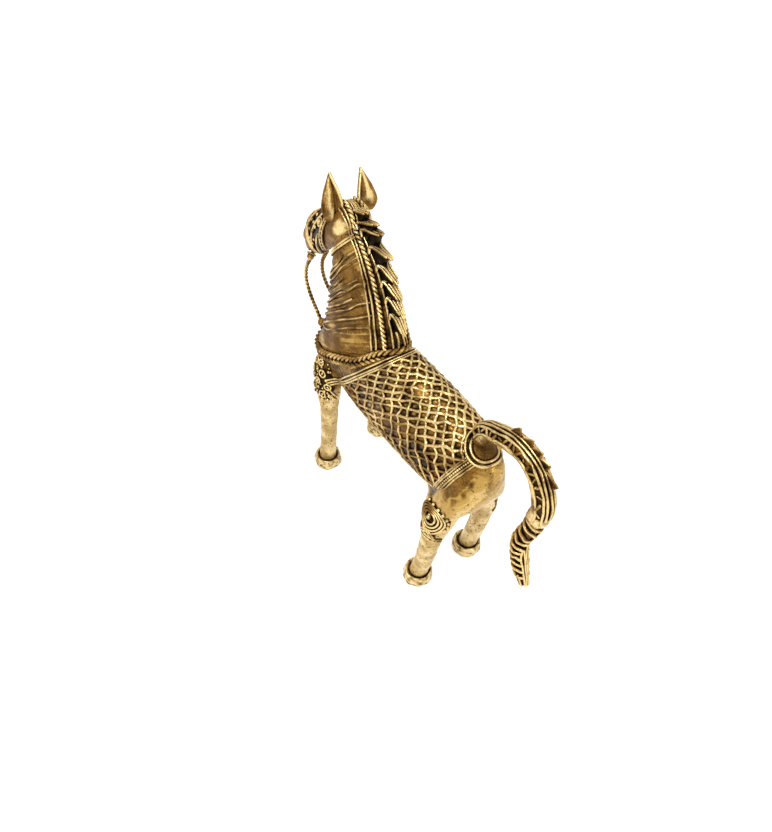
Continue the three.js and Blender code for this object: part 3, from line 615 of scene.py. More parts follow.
noseRun = (
    (0, 0, 0.48), (0.25, 0.55, 0.5), (0.5, 0.88, 0.42), (0.75, 1, 0.34), (0.93, 0.7, 0.33), (1, 0, 0.25),
)
head = spanned(
    [
        [poll[0] - 4, headSizes["width"] * 0.3, poll[2] + 0.5],
        *(noseAt(*shares) for shares in noseRun),
    ],
    [
        [poll[0] - 2, poll[2] - 8],
        [throat[0] - 3, throat[2] + 2.5],
        *(jawAt(along) for along in (0, 0.4, 0.68, 0.88, 1)),
    ],
)

# Legs rise from their hoof cups; the left ones are drawn
legSizes = {"shank": 5.0, "foot": 4.3, "shoulderRise": 12.5, "step": 5.0, "splay": 8.0}
shoulderTop = chest[2] + legSizes["shoulderRise"]


def legZ(share):
    return mix(legSizes["foot"], body["belly"], share)


# A level-cut limb whose half-depths and half-widths are shares of the shank's radius
def limb(centrePoints, shares):
    return stem(centrePoints, legSizes["shank"] * np.array(shares), upright=True)


foreLeg = limb(
    [
        [foreX, hoofY, legSizes["foot"]],
        [foreX - 0.5, hoofY - 0.5, legZ(0.4)],
        [foreX + 0.5, hoofY - 1.5, legZ(0.78)],
        [foreX + 5, hoofY - 3.5, body["belly"] + 2],
        [foreX + 8, hoofY - 6, chest[2] - 1.5],
        [foreX + 6, hoofY - 13, shoulderTop],
    ],
    [[1, 1], [0.96, 0.96], [1.08, 1.08], [1.9, 1.35], [1.6, 1.1], [0.8, 0.5]],
)
hindLeg = limb(
    [
        [hindX, hoofY, legSizes["foot"]],
        [hindX - 3.5, hoofY, legZ(0.4)],
        [hindX - 5, hoofY - 0.5, legZ(0.74)],
        [hindX - 3, hoofY - 5.5, body["belly"] + 2],
        [hindX - 1, hoofY - 10, body["belly"] + 11],
    ],
    [[1, 1], [1.04, 1], [1.2, 1.05], [2.25, 1.35], [2.1, 0.9]],
)

# A ham behind each hip fills the crease between rump and leg
ham = limb(
    [
        [hindX - 6, hoofY - 4, body["belly"] - 3],
        [hindX - 7, hoofY - 7, body["belly"] + 8],
        [hindX - 9, hoofY - 9, body["belly"] + 19],
        [hindX - 8, hoofY - 11, body["belly"] + 33],
    ],
    [[0.9, 0.6], [1.9, 1.2], [2.6, 1.5], [2.3, 1.1]],
)


# The right fore leg mirrors the left one, but its hoof stands forward and out
def stepped(points):
    share = np.clip((shoulderTop - points[..., 2]) / (shoulderTop - hooves["height"]), 0, 1)
    shift = np.stack([legSizes["step"] * share, -legSizes["splay"] * share, 0 * share], axis=-1)
    return mirrored(points) + shift


# The tail, from its tip up; angle 0 is its outer side
tailSizes = {
    "rise": 17.5, "reach": 30.0, "drop": 62.5, "radius": 4.7, "rootStep": 3.5, "rootDepth": 4.0,
    "shares": [0.45, 0.78, 0.8, 0.86, 1, 1, 1, 0.95, 0.88, 0.85],
}
crupper = {"inset": 12.5, "radius": 8.8, "innerRadius": 6.6, "wire": 0.8075, "lift": 0.75}
crupperStation = float(barrelStation(rump + crupper["inset"]))
crupperSeat = barrel.at(crupperStation, 0.0)
tailStation = float(barrelStation(rump + crupper["inset"] + tailSizes["rootStep"]))
tailSeat = barrel.at(tailStation, 0.0)
tailAim = barrel.normal(tailStation, 0.0)
tailBack = rump - tailSizes["reach"] + tailSizes["radius"]
tailTop = barrelTop + tailSizes["rise"] - tailSizes["radius"]
tailTip = barrelTop - tailSizes["drop"]


def tailAt(along, down):
    return [mix(rump, tailBack, along), 0.0, mix(tailTop, tailTip, down)]


tailRun = (
    (1.2, 1), (0.96, 0.85), (0.82, 0.68), (0.96, 0.43), (0.96, 0.21), (0.64, 0.045), (0.25, 0), (-0.18, 0.04),
)
tail = stem(
    [
        *(tailAt(*shares) for shares in tailRun),
        [tailSeat[0] - 2, 0.0, mix(tailSeat[2], tailTop, 0.5)],
        (tailSeat - tailSizes["rootDepth"] * tailAim).tolist(),
    ],
    [[share * tailSizes["radius"]] * 2 for share in tailSizes["shares"]],
)
print("forms: barrel, neck, head, legs, tail")

# The blanket's edges lean forward as they fall
blanket = {
    "rearLean": 0.3, "rearStep": 1.5, "frontLean": 0.86, "setback": 2.2, "hem": 72.0, "slant": 0.75,
    "along": 10, "around": 15, "wire": 0.79, "knot": 0.3, "inset": 1.6, "wander": 0.2,
}


def blanketRear(z):
    return rump + crupper["inset"] - blanket["rearStep"] + blanket["rearLean"] * (barrelTop - z)


def blanketFront(z):
    return withers[0] - blanket["setback"] + blanket["frontLean"] * (barrelTop - z)


hemShare = (barrelMiddle[2] - blanket["hem"]) / (body["height"] / 2)
hemAngle = math.pi - math.acos(hemShare ** (body["roundness"] / 2))


def flankZ(angle):
    return barrelMiddle[2] + signedPower(np.cos(angle), 2 / body["roundness"]) * body["height"] / 2


# So far inside the blanket's edges: the angle of the hem line there, and the step in from an end band
def blanketInset(inset):
    return hemAngle - inset / barrel.girth(0.5, hemAngle), inset / blanket["slant"]


# A place on the blanket, from rear to front and from hem to hem, as the barrel's t and angle
def blanketPlace(along, around, inset=0.0):
    hem, edge = blanketInset(inset)
    angle = mix(-hem, hem, np.asarray(around, float))
    z = flankZ(angle)
    return barrelStation(mix(blanketRear(z) + edge, blanketFront(z) - edge, np.asarray(along, float))), angle


# The runs of a path that stay outside the crupper rings
def clearOfCrupper(points, margin):
    keep = distance(points, crupperSeat) > crupper["radius"] + margin
    cuts = np.flatnonzero(np.diff(keep.astype(int))) + 1
    return [run for run in np.split(np.arange(len(points)), cuts) if keep[run[0]] and len(run) > 5]


# The shoulder cluster on the fore leg and the coil on the hip; the ground under both is dark
shoulder = {
    "at": (0.655, 1.2), "ground": (9, 9, 12), "wire": 0.58, "ringEye": 0.85, "bead": 1.1, "crumb": 0.75,
    "strap": 0.7, "lowStraps": (((0.63, 0.65), (0.56, -0.05)), ((0.6, 0.75), (0.53, 0.0))),
    "strapFrom": (48.0, 17.5, 70.5), "strapTo": (34.5, 14.8, 79.5), "strapShifts": (-1.7, 0.0, 1.7),
}
hip = {
    "at": 0.735, "ground": (7.0, 9.2), "wire": 0.64, "loops": (3.1, 4.7, 6.2, 7.7), "rear": 1.3,
    "below": 1.15, "drops": ((1.5, -0.3), (1.0, 1.1)), "beads": 8, "bead": 1.05, "beadReach": 9.4,
    "garter": 0.56, "garterReach": 0.22, "garterShifts": (-1.0, 0.9), "crossedAt": 0.6, "crossLean": 0.15,
}


# Dark ground under the shoulder cluster, the hip coil and the crossed wires below it
def nest(points):
    folded = np.stack([points[..., 0], np.abs(points[..., 1]), points[..., 2]], axis=-1)
    cluster = np.linalg.norm((folded - foreLeg.at(*shoulder["at"])) / shoulder["ground"], axis=-1)
    coil = distance(folded, hindLeg.at(hip["at"], outward))
    crossed = distance(folded, hindLeg.at(hip["crossedAt"], outward - hip["crossLean"]))
    return np.maximum.reduce([
        1.7 * (1 - smooth(0.75, 1.0, cluster)),
        1.7 * (1 - smooth(*hip["ground"], coil)),
        1.5 * (1 - smooth(3.6, 5.4, crossed)),
    ])


# Barrel, breast, tops of the legs and hams, each with the heights of its end domes
def bodySkins():
    around = circle(72)[None]
    trunk = barrel.laid(np.linspace(0.004, 0.996, 110)[:, None], around, 0.25)[0]
    t = np.linspace(0.0, 0.2, 20)[:, None]
    breast = neck.laid(t, around, 0.3 - 1.4 * smooth(0.1, 0.2, t))[0]
    t = np.linspace(0.5, 1.0, 40)[:, None]
    fore = foreLeg.laid(t, around, 0.8 - 2.2 * (1 - smooth(0.5, 0.64, t)))[0]
    hind = hindLeg.laid(t, around, 0.9 - 2.2 * (1 - smooth(0.5, 0.62, t)))[0]
    haunch = ham.at(np.linspace(0, 1, 30)[:, None], around)
    skins = [(trunk, (0.3, 0.3)), (breast, (0.0, 0.0)), (fore, (0.0, 2.0)), (stepped(fore), (0.0, 2.0))]
    for rings, domes in ((hind, (0.0, 4.0)), (haunch, (2.0, 2.0))):
        skins += [(rings, domes), (mirrored(rings), domes)]
    return skins


# The haunches and the elbows melt furthest
def bodySoftness(points):
    x, _, z = points.T
    rear = smooth(48, 58, z) * (1 - smooth(96, 106, z)) * (1 - smooth(-42, -28, x))
    front = 0.7 * smooth(50, 60, z) * smooth(30, 42, x)
    return np.maximum.reduce([rear, front, np.full(len(points), 0.12)])


# The barrel's angle at points of the melted body
def barrelAngle(points):
    swell = np.maximum(barrelSwell(barrelStation(points[:, 0])), 1e-3)
    power = body["roundness"] / 2
    return np.arctan2(
        signedPower(points[:, 1] / swell / body["width"] * 2, power),
        signedPower((points[:, 2] - barrelMiddle[2]) / swell / body["height"] * 2, power),
    )


# Body skin: the melted body, dark under the blanket
def bodyPiece():
    s = {
        "voxel": 0.9, "rounds": 110, "dent": 0.15, "ripple": 0.05, "swell": 0.3,
        "filledAt": (0.433, 0.38), "filledReach": 4.2, "filledRise": 0.75,
    }
    points, normals, faces = melted(bodySkins(), s["voxel"], s["rounds"], bodySoftness)
    uneven = dents(points, 12.0) * s["dent"] + dents(points, 4.0, seed=14) * s["ripple"]
    points = points + normals * uneven[:, None]
    angle = barrelAngle(points)
    rear, front = blanketRear(flankZ(angle)), blanketFront(flankZ(angle))
    x, y, z = points.T
    under = smooth(-1.0, 1.5, np.minimum(x - rear, front - x))
    under = under * smooth(-0.05, 0.05, hemAngle - np.abs(angle))
    # cells of the blanket: dark beside the wires, which paints their shade over the dark ground, with a
    # lighter swelling in the middle of each
    hem, inset = blanketInset(blanket["inset"])
    along = (x - rear - inset) / (front - rear - 2 * inset) * blanket["along"]
    down = (angle + hem) / hem / 2 * blanket["around"]
    cells = np.stack([along - down, along + down])
    middle = under * smooth(0.2, 0.42, np.abs(cells - np.round(cells)).min(axis=0))
    lowRear = (1 - smooth(-25, 5, x)) * (1 - smooth(90, 112, z))
    lightened = middle * np.clip(0.6 + 0.35 * dents(points, 9.0, seed=17), 0.1, 0.9) * (1 - 0.85 * lowRear)
    lightened = lightened * (0.3 + 0.7 * smooth(-7, 6, y))
    # metal filled a few cells
    filled = under * bump(distance(points, barrel.at(*s["filledAt"])), 0, s["filledReach"])
    lightened = np.maximum(lightened, 0.95 * smooth(0.3, 0.7, filled))
    points = points + normals * (s["swell"] * middle + s["filledRise"] * filled)[:, None]
    x, _, z = points.T
    disc = 1 - smooth(crupper["radius"] - 1.2, crupper["radius"] + 0.4, distance(points, crupperSeat))
    disc = disc * np.clip(0.75 + 0.4 * dents(points, 3.0, seed=25), 0, 1)
    pale = 1.3 * (1 - smooth(58.0, 92.0, z)) * (1 - smooth(0.0, 20.0, x))
    pale = pale + 0.75 * (1 - smooth(rump + 3, rump + 13, x))
    # the haunch is brown next to the band, with streaks along it
    behind = rear - x
    tan = bump(behind, 5, 6) * smooth(72, 86, z)
    streak = np.interp(behind + 1.3 * dents(points, 9.0, seed=19), np.linspace(0, 30, 90), drift(90, 26, 40))
    streak = streak * smooth(0, 2, behind) * smooth(66, 80, z)
    shine = 0.55 + 0.15 * dents(points, 18.0, seed=8) + pale
    shine = shine + 0.35 * lightened - 0.4 * tan + 0.4 * streak - 0.35 * filled
    # in front of the blanket it is mottled
    mottle = smooth(0.0, 0.8, dents(points, 3.2, seed=23) + 0.4 * dents(points, 9.0, seed=24))
    mottle = 0.85 * mottle * smooth(0, 3, x - front) * smooth(62, 72, z)
    wax = Wax()
    stainAndShade = np.maximum.reduce([under * (1 - lightened), disc, mottle, nest(points)])
    wax.gather(points, faces.tolist(), shine, stainAndShade)
    cast(wax, "barrel_shell", slot="body_brass", material=bodyBrass)
    return points, faces.tolist()


# Legs with a pitted skin; hands back the left ones' skins
def legPieces():
    s = {"dent": 0.09, "ripple": 0.09, "sink": 2.4}
    t, angle = np.linspace(0, 1, 150)[:, None], circle(64)[None]
    skins = []
    for end, form, farPlace in (("fore", foreLeg, stepped), ("hind", hindLeg, mirrored)):
        for n, (side, place) in enumerate((("left", None), ("right", farPlace))):
            points, normals = form.laid(t, angle)
            push = dents(points, 7.0, seed=30 + n) * s["dent"] + dents(points, 2.4, seed=33 + n) * s["ripple"]
            points = points + normals * (push - s["sink"] * smooth(0.58, 0.72, t))[..., None]
            wax = Wax()
            wax.skin(points, 0.5 + 0.25 * dents(points, 9.0, seed=36 + n), nest(points), domes=(0.0, 2.0))
            cast(wax, f"{side}_{end}_leg", place, "leg_brass", legBrass)
            if side == "left":
                skins.append((np.concatenate(wax.points), wax.faces))
    return skins


grounds = [bodyPiece(), *legPieces()]
groundTrees = [BVHTree.FromPolygons(points.tolist(), faces) for points, faces in grounds]


# Points dropped against their normals on the body or the legs, whichever is outermost there
def pressed(points, normals, lift):
    start, limit = 12, 20  # rays set out this far off the path and go this far
    landed = []
    for point, normal in zip(points, normals):
        hits = [tree.ray_cast(Vector(point + normal * start), Vector(-normal), limit) for tree in groundTrees]
        depth = min((hit[3] for hit in hits if hit[0]), default=start)
        landed.append(point + normal * (start - depth))
    return np.array(landed) + normals * lift


# Blanket of crossed wires: each family of wires runs on a slant from edge to edge, thicker where they cross
def latticePiece():
    columns, rows = 2 * blanket["along"], 2 * blanket["around"]
    wax = Wax()
    for slant in (1, -1):
        first, last = (-rows, columns) if slant > 0 else (0, columns + rows)
        for m in range(first, last + 1, 2):
            low = max(0, -m if slant > 0 else m - columns)
            high = min(rows, columns - m if slant > 0 else m)
            if high - low < 1:
                continue
            seed = 500 + m + 200 * slant
            around = np.linspace(low, high, max(8, int((high - low) * 9)))
            along = m + slant * around
            edge = np.minimum(np.minimum(along, columns - along), np.minimum(around, rows - around))
            sway = blanket["wander"] * drift(len(around), seed, max(3, int(high - low))) * np.clip(edge, 0, 1)
            place = blanketPlace((along + sway) / columns, (around - slant * sway) / rows, blanket["inset"])
            weave = np.cos(around * math.pi)
            lift = 0.3 + 0.12 * slant * weave + 0.1 * drift(len(around), seed + 600, 5)
            points, normals = barrel.laid(*place, lift)
            uneven = 0.16 * drift(len(around), seed + 900, 9)
            thick = blanket["wire"] * (1 + blanket["knot"] * weave ** 2 + uneven)
            # wires facing up are lighter and those in front that face sideways or down are darker, as painted
            # shade; the ones that fall forward low at the rear are duller and thinner
            x, _, z = points.T
            sideShade = smooth(0, 30, x) * (1 - smooth(0.05, 0.5, normals[:, 2]))
            dull = (1 - smooth(-25, 5, x)) * (1 - smooth(90, 108, z)) * (slant > 0)
            glow = 0.04 * normals[:, 2] - 0.06 - 0.22 * sideShade - 0.6 * dull
            thick = thick * (1 - 0.3 * dull)
            for run in clearOfCrupper(points, 0.3):
                wax.wire(points[run], normals[run], thick[run], glow=glow[run])
    cast(wax, "blanket_lattice")


latticePiece()


# Bands and hems of the blanket: wires side by side, with pellets between them on the rear band
def bandPieces():
    s = {
        "wire": 0.62, "lift": 0.5, "frontLift": 0.8, "pellet": 0.8, "every": 3,
        "front": (-1.6, -0.3, 1.5), "rear": (-2.5, -1.3, 1.3, 2.4), "hem": (-1.5, -0.1, 1.3),
    }
    count = 190
    u = np.linspace(0, 1, count)
    wax = Wax()
    points, normals = barrel.laid(*blanketPlace(1.0, u), s["frontLift"])
    for shift in s["front"]:
        sway = 0.15 * drift(count, 20 + int(shift * 10), 14)
        wax.wire(beside(points, normals, shift + sway), normals, s["wire"])
    cast(wax, "blanket_front_band")
    wax = Wax()
    points, normals = barrel.laid(*blanketPlace(0.0, u), s["lift"])
    for shift in s["rear"]:
        line = beside(points, normals, shift + 0.12 * drift(count, 31 + int(shift * 10), 14))
        for run in clearOfCrupper(line, 0.6):
            wax.wire(line[run], normals[run], s["wire"], glow=-0.1)
    for k in range(s["every"], count - 2, s["every"]):
        if distance(points[k], crupperSeat) > crupper["radius"] + 1.2:
            wax.pellet(points[k], normals[k], s["pellet"])
    cast(wax, "blanket_rear_band")
    count = 140
    for side, around in (("left", 1.0), ("right", 0.0)):
        wax = Wax()
        points, normals = barrel.laid(*blanketPlace(np.linspace(0.02, 0.98, count), around), s["lift"])
        for shift in s["hem"]:
            sway = 0.15 * drift(count, 44 + int(shift * 10), 12)
            wax.wire(beside(points, normals, shift + sway), normals, s["wire"])
        cast(wax, side + "_blanket_hem")


bandPieces()
print("body and blanket cast")

# Mane: a twisted rope down each side of the crest, plain wires by it, and tongues between
mane = {
    "from": neckSizes["collar"] + 0.05, "to": 0.88, "rope": 2.7, "lay": 5.0, "wire": 0.62, "thread": 0.8,
    "roots": [0.94, 0.856, 0.751, 0.659, 0.577, 0.493, 0.403],
    "rises": [10.0, 11.6, 10.4, 8.5, 8.2, 6.8, 5.4], "length": 11.0,
    "tongueWire": 0.72, "tongueWires": ((2.1, 0.84), (0.75, 1.0), (-0.7, 0.96), (-2.1, 0.82)),
    "ropeAt": (0.52, (0.5, 0.35, 0.25)),
    "threadsAt": (
        (0.84, (0.95, 0.75, 0.6)),
        (0.73, (0.75, 0.57, 0.45)),
        (0.3, (0.22, 0.15, 0.1)),
        (0.12, (0.08, 0.05, 0.03)),
    ),
}

# Lines on each side of the neck: height, rise to the crest, thickness, and where they begin and end
neckLines = [
    (0.3, 0.04, 0.42, 0.1, 0.9),
    (0.335, 0.07, 0.6, 0.0, 1.0),
    (0.385, 0.09, 0.5, 0.25, 1.0),
    (0.43, 0.09, 0.62, 0.0, 0.8),
    (0.48, 0.11, 0.58, 0.3, 1.0),
    (0.515, 0.1, 0.5, 0.0, 0.9),
    (0.565, 0.11, 0.6, 0.0, 0.7),
    (0.615, 0.12, 0.52, 0.1, 1.0),
    (0.655, 0.11, 0.66, 0.0, 1.0),
    (0.69, 0.1, 0.5, 0.0, 0.75),
]
bandStarts = (0, 3, 5, 8, 10)  # the first line of each neck band, and the end of the last


def neckLine(n, share):
    height, rise = neckLines[n][:2]
    t = height + rise * smooth(0.1, 1.0, share) + 0.008 * drift(len(share), 40 + n, 6)
    return t, mix(math.pi, mane["thread"], share)


# Neck skin, scraped round by the maker's blade, with a dark cut beside each wrap
def neckPiece():
    s = {"stations": 330, "sides": 150, "dent": 0.22, "scrape": 0.2, "cut": 0.4, "cutWidth": 0.006}
    t, angle = np.linspace(0.1, 1.0, s["stations"])[:, None], circle(s["sides"])[None]
    points, normals = neck.laid(t, angle)
    bite = drift(s["stations"], 21, 80)[:, None] * s["scrape"] * (0.5 + 0.5 * dents(points, 20.0, seed=5))
    spread = fromTop(angle)
    along = (math.pi - spread) / (math.pi - mane["thread"])
    nick = np.zeros(points.shape[:2])
    for n, (_, _, _, start, end) in enumerate(neckLines):
        level, over = neckLine(n, np.linspace(0, 1, 60))
        height = np.interp(spread[0], over[::-1], level[::-1])
        reach = smooth(start - 0.05, start + 0.05, along) * (1 - smooth(end, end + 0.1, along))
        for side, depth in ((-0.013, 1.0), (0.012, 0.7)):
            nick = np.maximum(nick, bump(t - height, side, s["cutWidth"]) * reach * depth)
    push = dents(points, 10.0) * s["dent"] + bite - s["cut"] * nick
    points = points + normals * push[..., None]
    crest = 1 - smooth(0.75, 0.95, spread)
    lightened = np.maximum(0, dents(points, 5.0, seed=15)) * np.maximum(0, drift(s["stations"], 22, 150)[:, None])
    shine = 0.48 + 0.25 * dents(points, 14.0, seed=9) + 1.3 * bite + 0.4 * lightened
    wax = Wax()
    wax.skin(points, shine, np.maximum(0.95 * crest, 0.85 * nick))
    cast(wax, "neck_shell", slot="body_brass", material=bodyBrass)


neckPiece()


# Collar: two thick ropes twisted opposite ways, so that they read as a plait, hanging lower on the shoulders
def collarPieces():
    s = {"diameter": 3.55, "lay": 7.0, "pitch": 0.038, "lift": 1.15, "dip": 0.055, "blur": 12}
    angle = circle(520)
    hang = smooth(0.6, 1.3, fromTop(angle)) * (1 - smooth(2.0, 2.9, fromTop(angle)))
    window = 2 * s["blur"] + 1
    for name, t, hand in (("upper", neckSizes["collar"] + s["pitch"], 1), ("lower", neckSizes["collar"], -1)):
        points, normals = neck.laid(t - s["dip"] * hang + 0.002 * np.sin(3 * angle + hand), angle)
        # where the shoulders stand out from the neck the rope rises on to them
        rise = np.maximum(0, ((pressed(points, normals, 0.0) - points) * normals).sum(axis=1))
        rise = np.convolve(np.pad(rise, s["blur"], mode="wrap"), np.full(window, 1 / window), "valid")
        points = points + normals * (rise * hang + s["lift"])[:, None]
        wax = Wax()
        wax.rope(points, normals, s["diameter"], s["lay"], hand, looped=True, glow=-0.14)
        cast(wax, "collar_rope_" + name)


collarPieces()


# A line up the neck that runs on over the poll to the brow between the ears
def crestLine(angle, ends, lift, count):
    share = np.linspace(0, 1, count)
    lower = neck.laid(np.linspace(mane["from"], mane["to"], 24), angle, lift)
    upper = head.laid([0.06, 0.13, 0.2], ends, lift)
    points, normals = (spline(np.concatenate(pair))(share) for pair in zip(lower, upper))
    return points, unit(normals)


def manePieces():
    wax = Wax()
    wax.rope(*crestLine(*mane["ropeAt"], 1.1, 330), mane["rope"], mane["lay"])
    castPair(wax, "mane_rope")
    wax = Wax()
    count = 170
    for k, line in enumerate(mane["threadsAt"]):
        points, normals = crestLine(*line, 0.5, count)
        points = beside(points, normals, 0.2 * drift(count, 31 + k, 16))
        wax.wire(points, normals, mane["wire"] * (1 + 0.15 * drift(count, 37 + k, 20)), glow=-0.05)
    castPair(wax, "mane_thread")


manePieces()


# A tongue of the mane: wires that hook in beside the ropes and run to a blunt tip, over a black ridge that
# paints the shade under the raised tongue
def tongue(wax, start, down, normal, length, rise, seed):
    share = np.linspace(0, 1, 36)
    for n, (over, reach) in enumerate(mane["tongueWires"]):
        run = length * reach * (1 + 0.05 * math.sin(seed * 2.3 + n))
        lead = math.copysign(1.0, over)
        high = rise * reach
        route = [  # how far to the side, down the crest and up from it
            (lead * 3.7, 2.8 - 0.4 * abs(over), 0.2),
            (over * 0.5 + lead * 2.2, 0.2, 0.9 + 0.05 * rise),
            (over + 0.3 * lead, run * 0.2, 1.2 + 0.24 * high),
            (over * 0.95, run * 0.6, 1.0 + 0.6 * high),
            (over * 0.72, run, 0.5 + high),
        ]
        points = spline([start + across * a + down * b + normal * c for a, b, c in route])(share)
        wire = mane["tongueWire"] * (1 - 0.2 * share ** 2)
        wax.wire(points, np.broadcast_to(normal, points.shape), wire, glow=0.12)
    # painted shade: a black ridge fills the space under the tongue
    run = np.linspace(0.06, 0.86, 12)[:, None]
    foot, top = (start + down * run * length + normal * up for up in (-1.0, run * rise * 0.85))
    low, high = across * 2.6, across * 1.5
    wax.skin(np.stack([foot + low, top + high, top - high, foot - low], axis=1), 0.2, 2.0)


def lockPieces():
    for k, (root, rise) in enumerate(zip(mane["roots"], mane["rises"])):
        wax = Wax()
        start, normal = neck.at(root, 0.0), neck.normal(root, 0.0)
        down = unit(neck.at(root - 0.06, 0.0) - start)
        tongue(wax, start, down, normal, mane["length"], rise, k)
        if k == 0:
            # the first lock has a second tongue above it, which starts between the ears
            tongue(wax, start - down * 7 + normal, unit(down + normal * 0.1), normal, 10.0, 7.0, 9)
        cast(wax, f"mane_lock_{k + 1}")


lockPieces()


# Wraps of wire round the neck, half sunk, and the double strap at the throat
def wrapPieces():
    s = {"strapAt": 0.87, "strapShift": 0.014, "strap": 0.68, "strapLift": 0.5}
    count = 120
    for k, (first, after) in enumerate(zip(bandStarts, bandStarts[1:])):
        wax = Wax()
        for n in range(first, after):
            _, _, thick, start, end = neckLines[n]
            t, angle = neckLine(n, np.linspace(start, end, count))
            for side in (1, -1):
                points, normals = neck.laid(t, side * angle, 0.12 + 0.12 * drift(count, 80 + n, 9))
                wax.wire(points, normals, thick * (1 + 0.25 * drift(count, 60 + n, 14)), glow=-0.18)
        cast(wax, f"neck_band_{k + 1}")
    wax = Wax()
    angle = np.linspace(mane["thread"] - 0.1, turn - mane["thread"] + 0.1, 170)
    for n, side in enumerate((-1, 1)):
        t = s["strapAt"] + side * s["strapShift"] - 0.02 * np.sin((angle - math.pi) / 2) ** 2
        wax.wire(*neck.laid(t + 0.003 * drift(170, 90 + n, 9), angle, s["strapLift"]), s["strap"])
    cast(wax, "throat_strap")


wrapPieces()
print("neck, mane and collar cast")


# Head: eyes in almond lids, nostrils, a mouth line, a net of straps and beads over the muzzle, and a painted
# highlight on the jowl
def headPiece():
    s = {
        "stations": 170, "sides": 130, "dent": 0.18, "span": 55.0, "nostril": (0.95, 0.13), "mouth": 0.365,
        "eye": (0.4, 0.19), "eyeball": 1.9, "lid": 2.5, "lidWire": 0.55, "strap": 0.8, "bead": 1.0,
        "beads": [
            (0.4, 0.1), (0.46, 0.08), (0.5, 0.13), (0.56, 0.1), (0.53, 0.18), (0.6, 0.15), (0.63, 0.21),
            (0.57, 0.24), (0.66, 0.11), (0.48, 0.22), (0.67, 0.17), (0.67, 0.27), (0.62, 0.32), (0.55, 0.3),
        ],
    }
    t, angle = np.linspace(0.01, 0.99, s["stations"])[:, None], circle(s["sides"])[None]
    points, normals = head.laid(t, angle)
    share = fromTop(angle) / turn
    hole = np.hypot((t - s["nostril"][0]) * s["span"], (share - s["nostril"][1]) * s["span"])
    lip = bump((share - s["mouth"]) * s["span"], 0, 0.7) * smooth(0.78, 0.84, t)
    push = dents(points, 8.0) * s["dent"] - 1.6 * bump(hole, 0, 1.5) + 0.7 * bump(hole, 2.4, 0.9) - 0.8 * lip
    points = points + normals * push[..., None]
    # the straps' ground starts at the cheek strap and ends at the noseband
    cheek = 0.3 + 0.85 * (share - 0.15)
    net = smooth(0.0, 0.05, t - cheek) * (1 - smooth(0.7, 0.73, t))
    net = net * smooth(0.05, 0.08, share) * (1 - smooth(0.44, 0.47, share))
    crest = (1 - smooth(0.1, 0.16, share)) * (1 - smooth(0.2, 0.24, t))
    dark = np.maximum.reduce([0.95 * net, bump(hole, 0, 1.6), 0.8 * lip, 0.9 * crest])
    # painted highlight: a bright patch on the jowl
    jowlHighlight = bump(t, 0.1, 0.08) * bump(share, 0.215, 0.075)
    shine = 0.34 + 0.18 * dents(points, 10.0, seed=12) + (1.2 + 0.12 * dents(points, 3.0, seed=13)) * jowlHighlight
    wax = Wax()
    wax.skin(points, shine, dark, domes=(0.0, 1.6))
    for side in (1, -1):
        t, angle = s["eye"][0], side * turn * s["eye"][1]
        centre, out = head.at(t, angle), head.normal(t, angle)
        wax.pellet(centre, out, s["eyeball"], 1.0)
        forward = unit(head.at(t + 0.02, angle) - head.at(t - 0.02, angle))
        wax.ring(centre + out * 0.25, out, s["lid"], s["lidWire"], (0.85, 1.35), up=forward)
        # straps on a slant from the cheek strap to the noseband
        u = np.linspace(0, 1, 50)
        for m in np.arange(-0.45, 1.3, 0.5):
            v = m + u * 0.75
            around = mix(0.07, 0.44, v)
            along = mix(0.33 + 0.85 * (np.clip(around, 0.07, 0.44) - 0.15), 0.71, u)
            keep = (v >= 0) & (v <= 1)
            if keep.sum() >= 8:
                wax.wire(*head.laid(along[keep], side * turn * around[keep], 0.4), s["strap"])
        for along, around in s["beads"]:
            wax.pellet(*head.laid(along, side * turn * around, 0.6), s["bead"])
    cast(wax, "head")


headPiece()

# Ears: pointed leaves dished backwards, with a fold beside their rolled inner rim; painted shade darkens the
# fold and a hollow low on the leaf, and a painted highlight runs down each
ears = {
    "sink": 0.6, "thick": 1.5, "dish": 2.2, "rim": 0.75, "fold": 1.1,
    "left": {
        "hand": 1, "facing": 0.3, "lean": (4, -0.6, 22.5), "shift": 0.5, "width": 10.2, "belly": 0.34,
        "groove": 0.15, "highlightAt": 0.3,
    },
    "right": {
        "hand": -1, "facing": -0.15, "lean": (4, 1.6, 20.5), "shift": -1.6, "width": 11.5, "belly": 0.26,
        "groove": 0.3, "highlightAt": 0.45,
    },
}


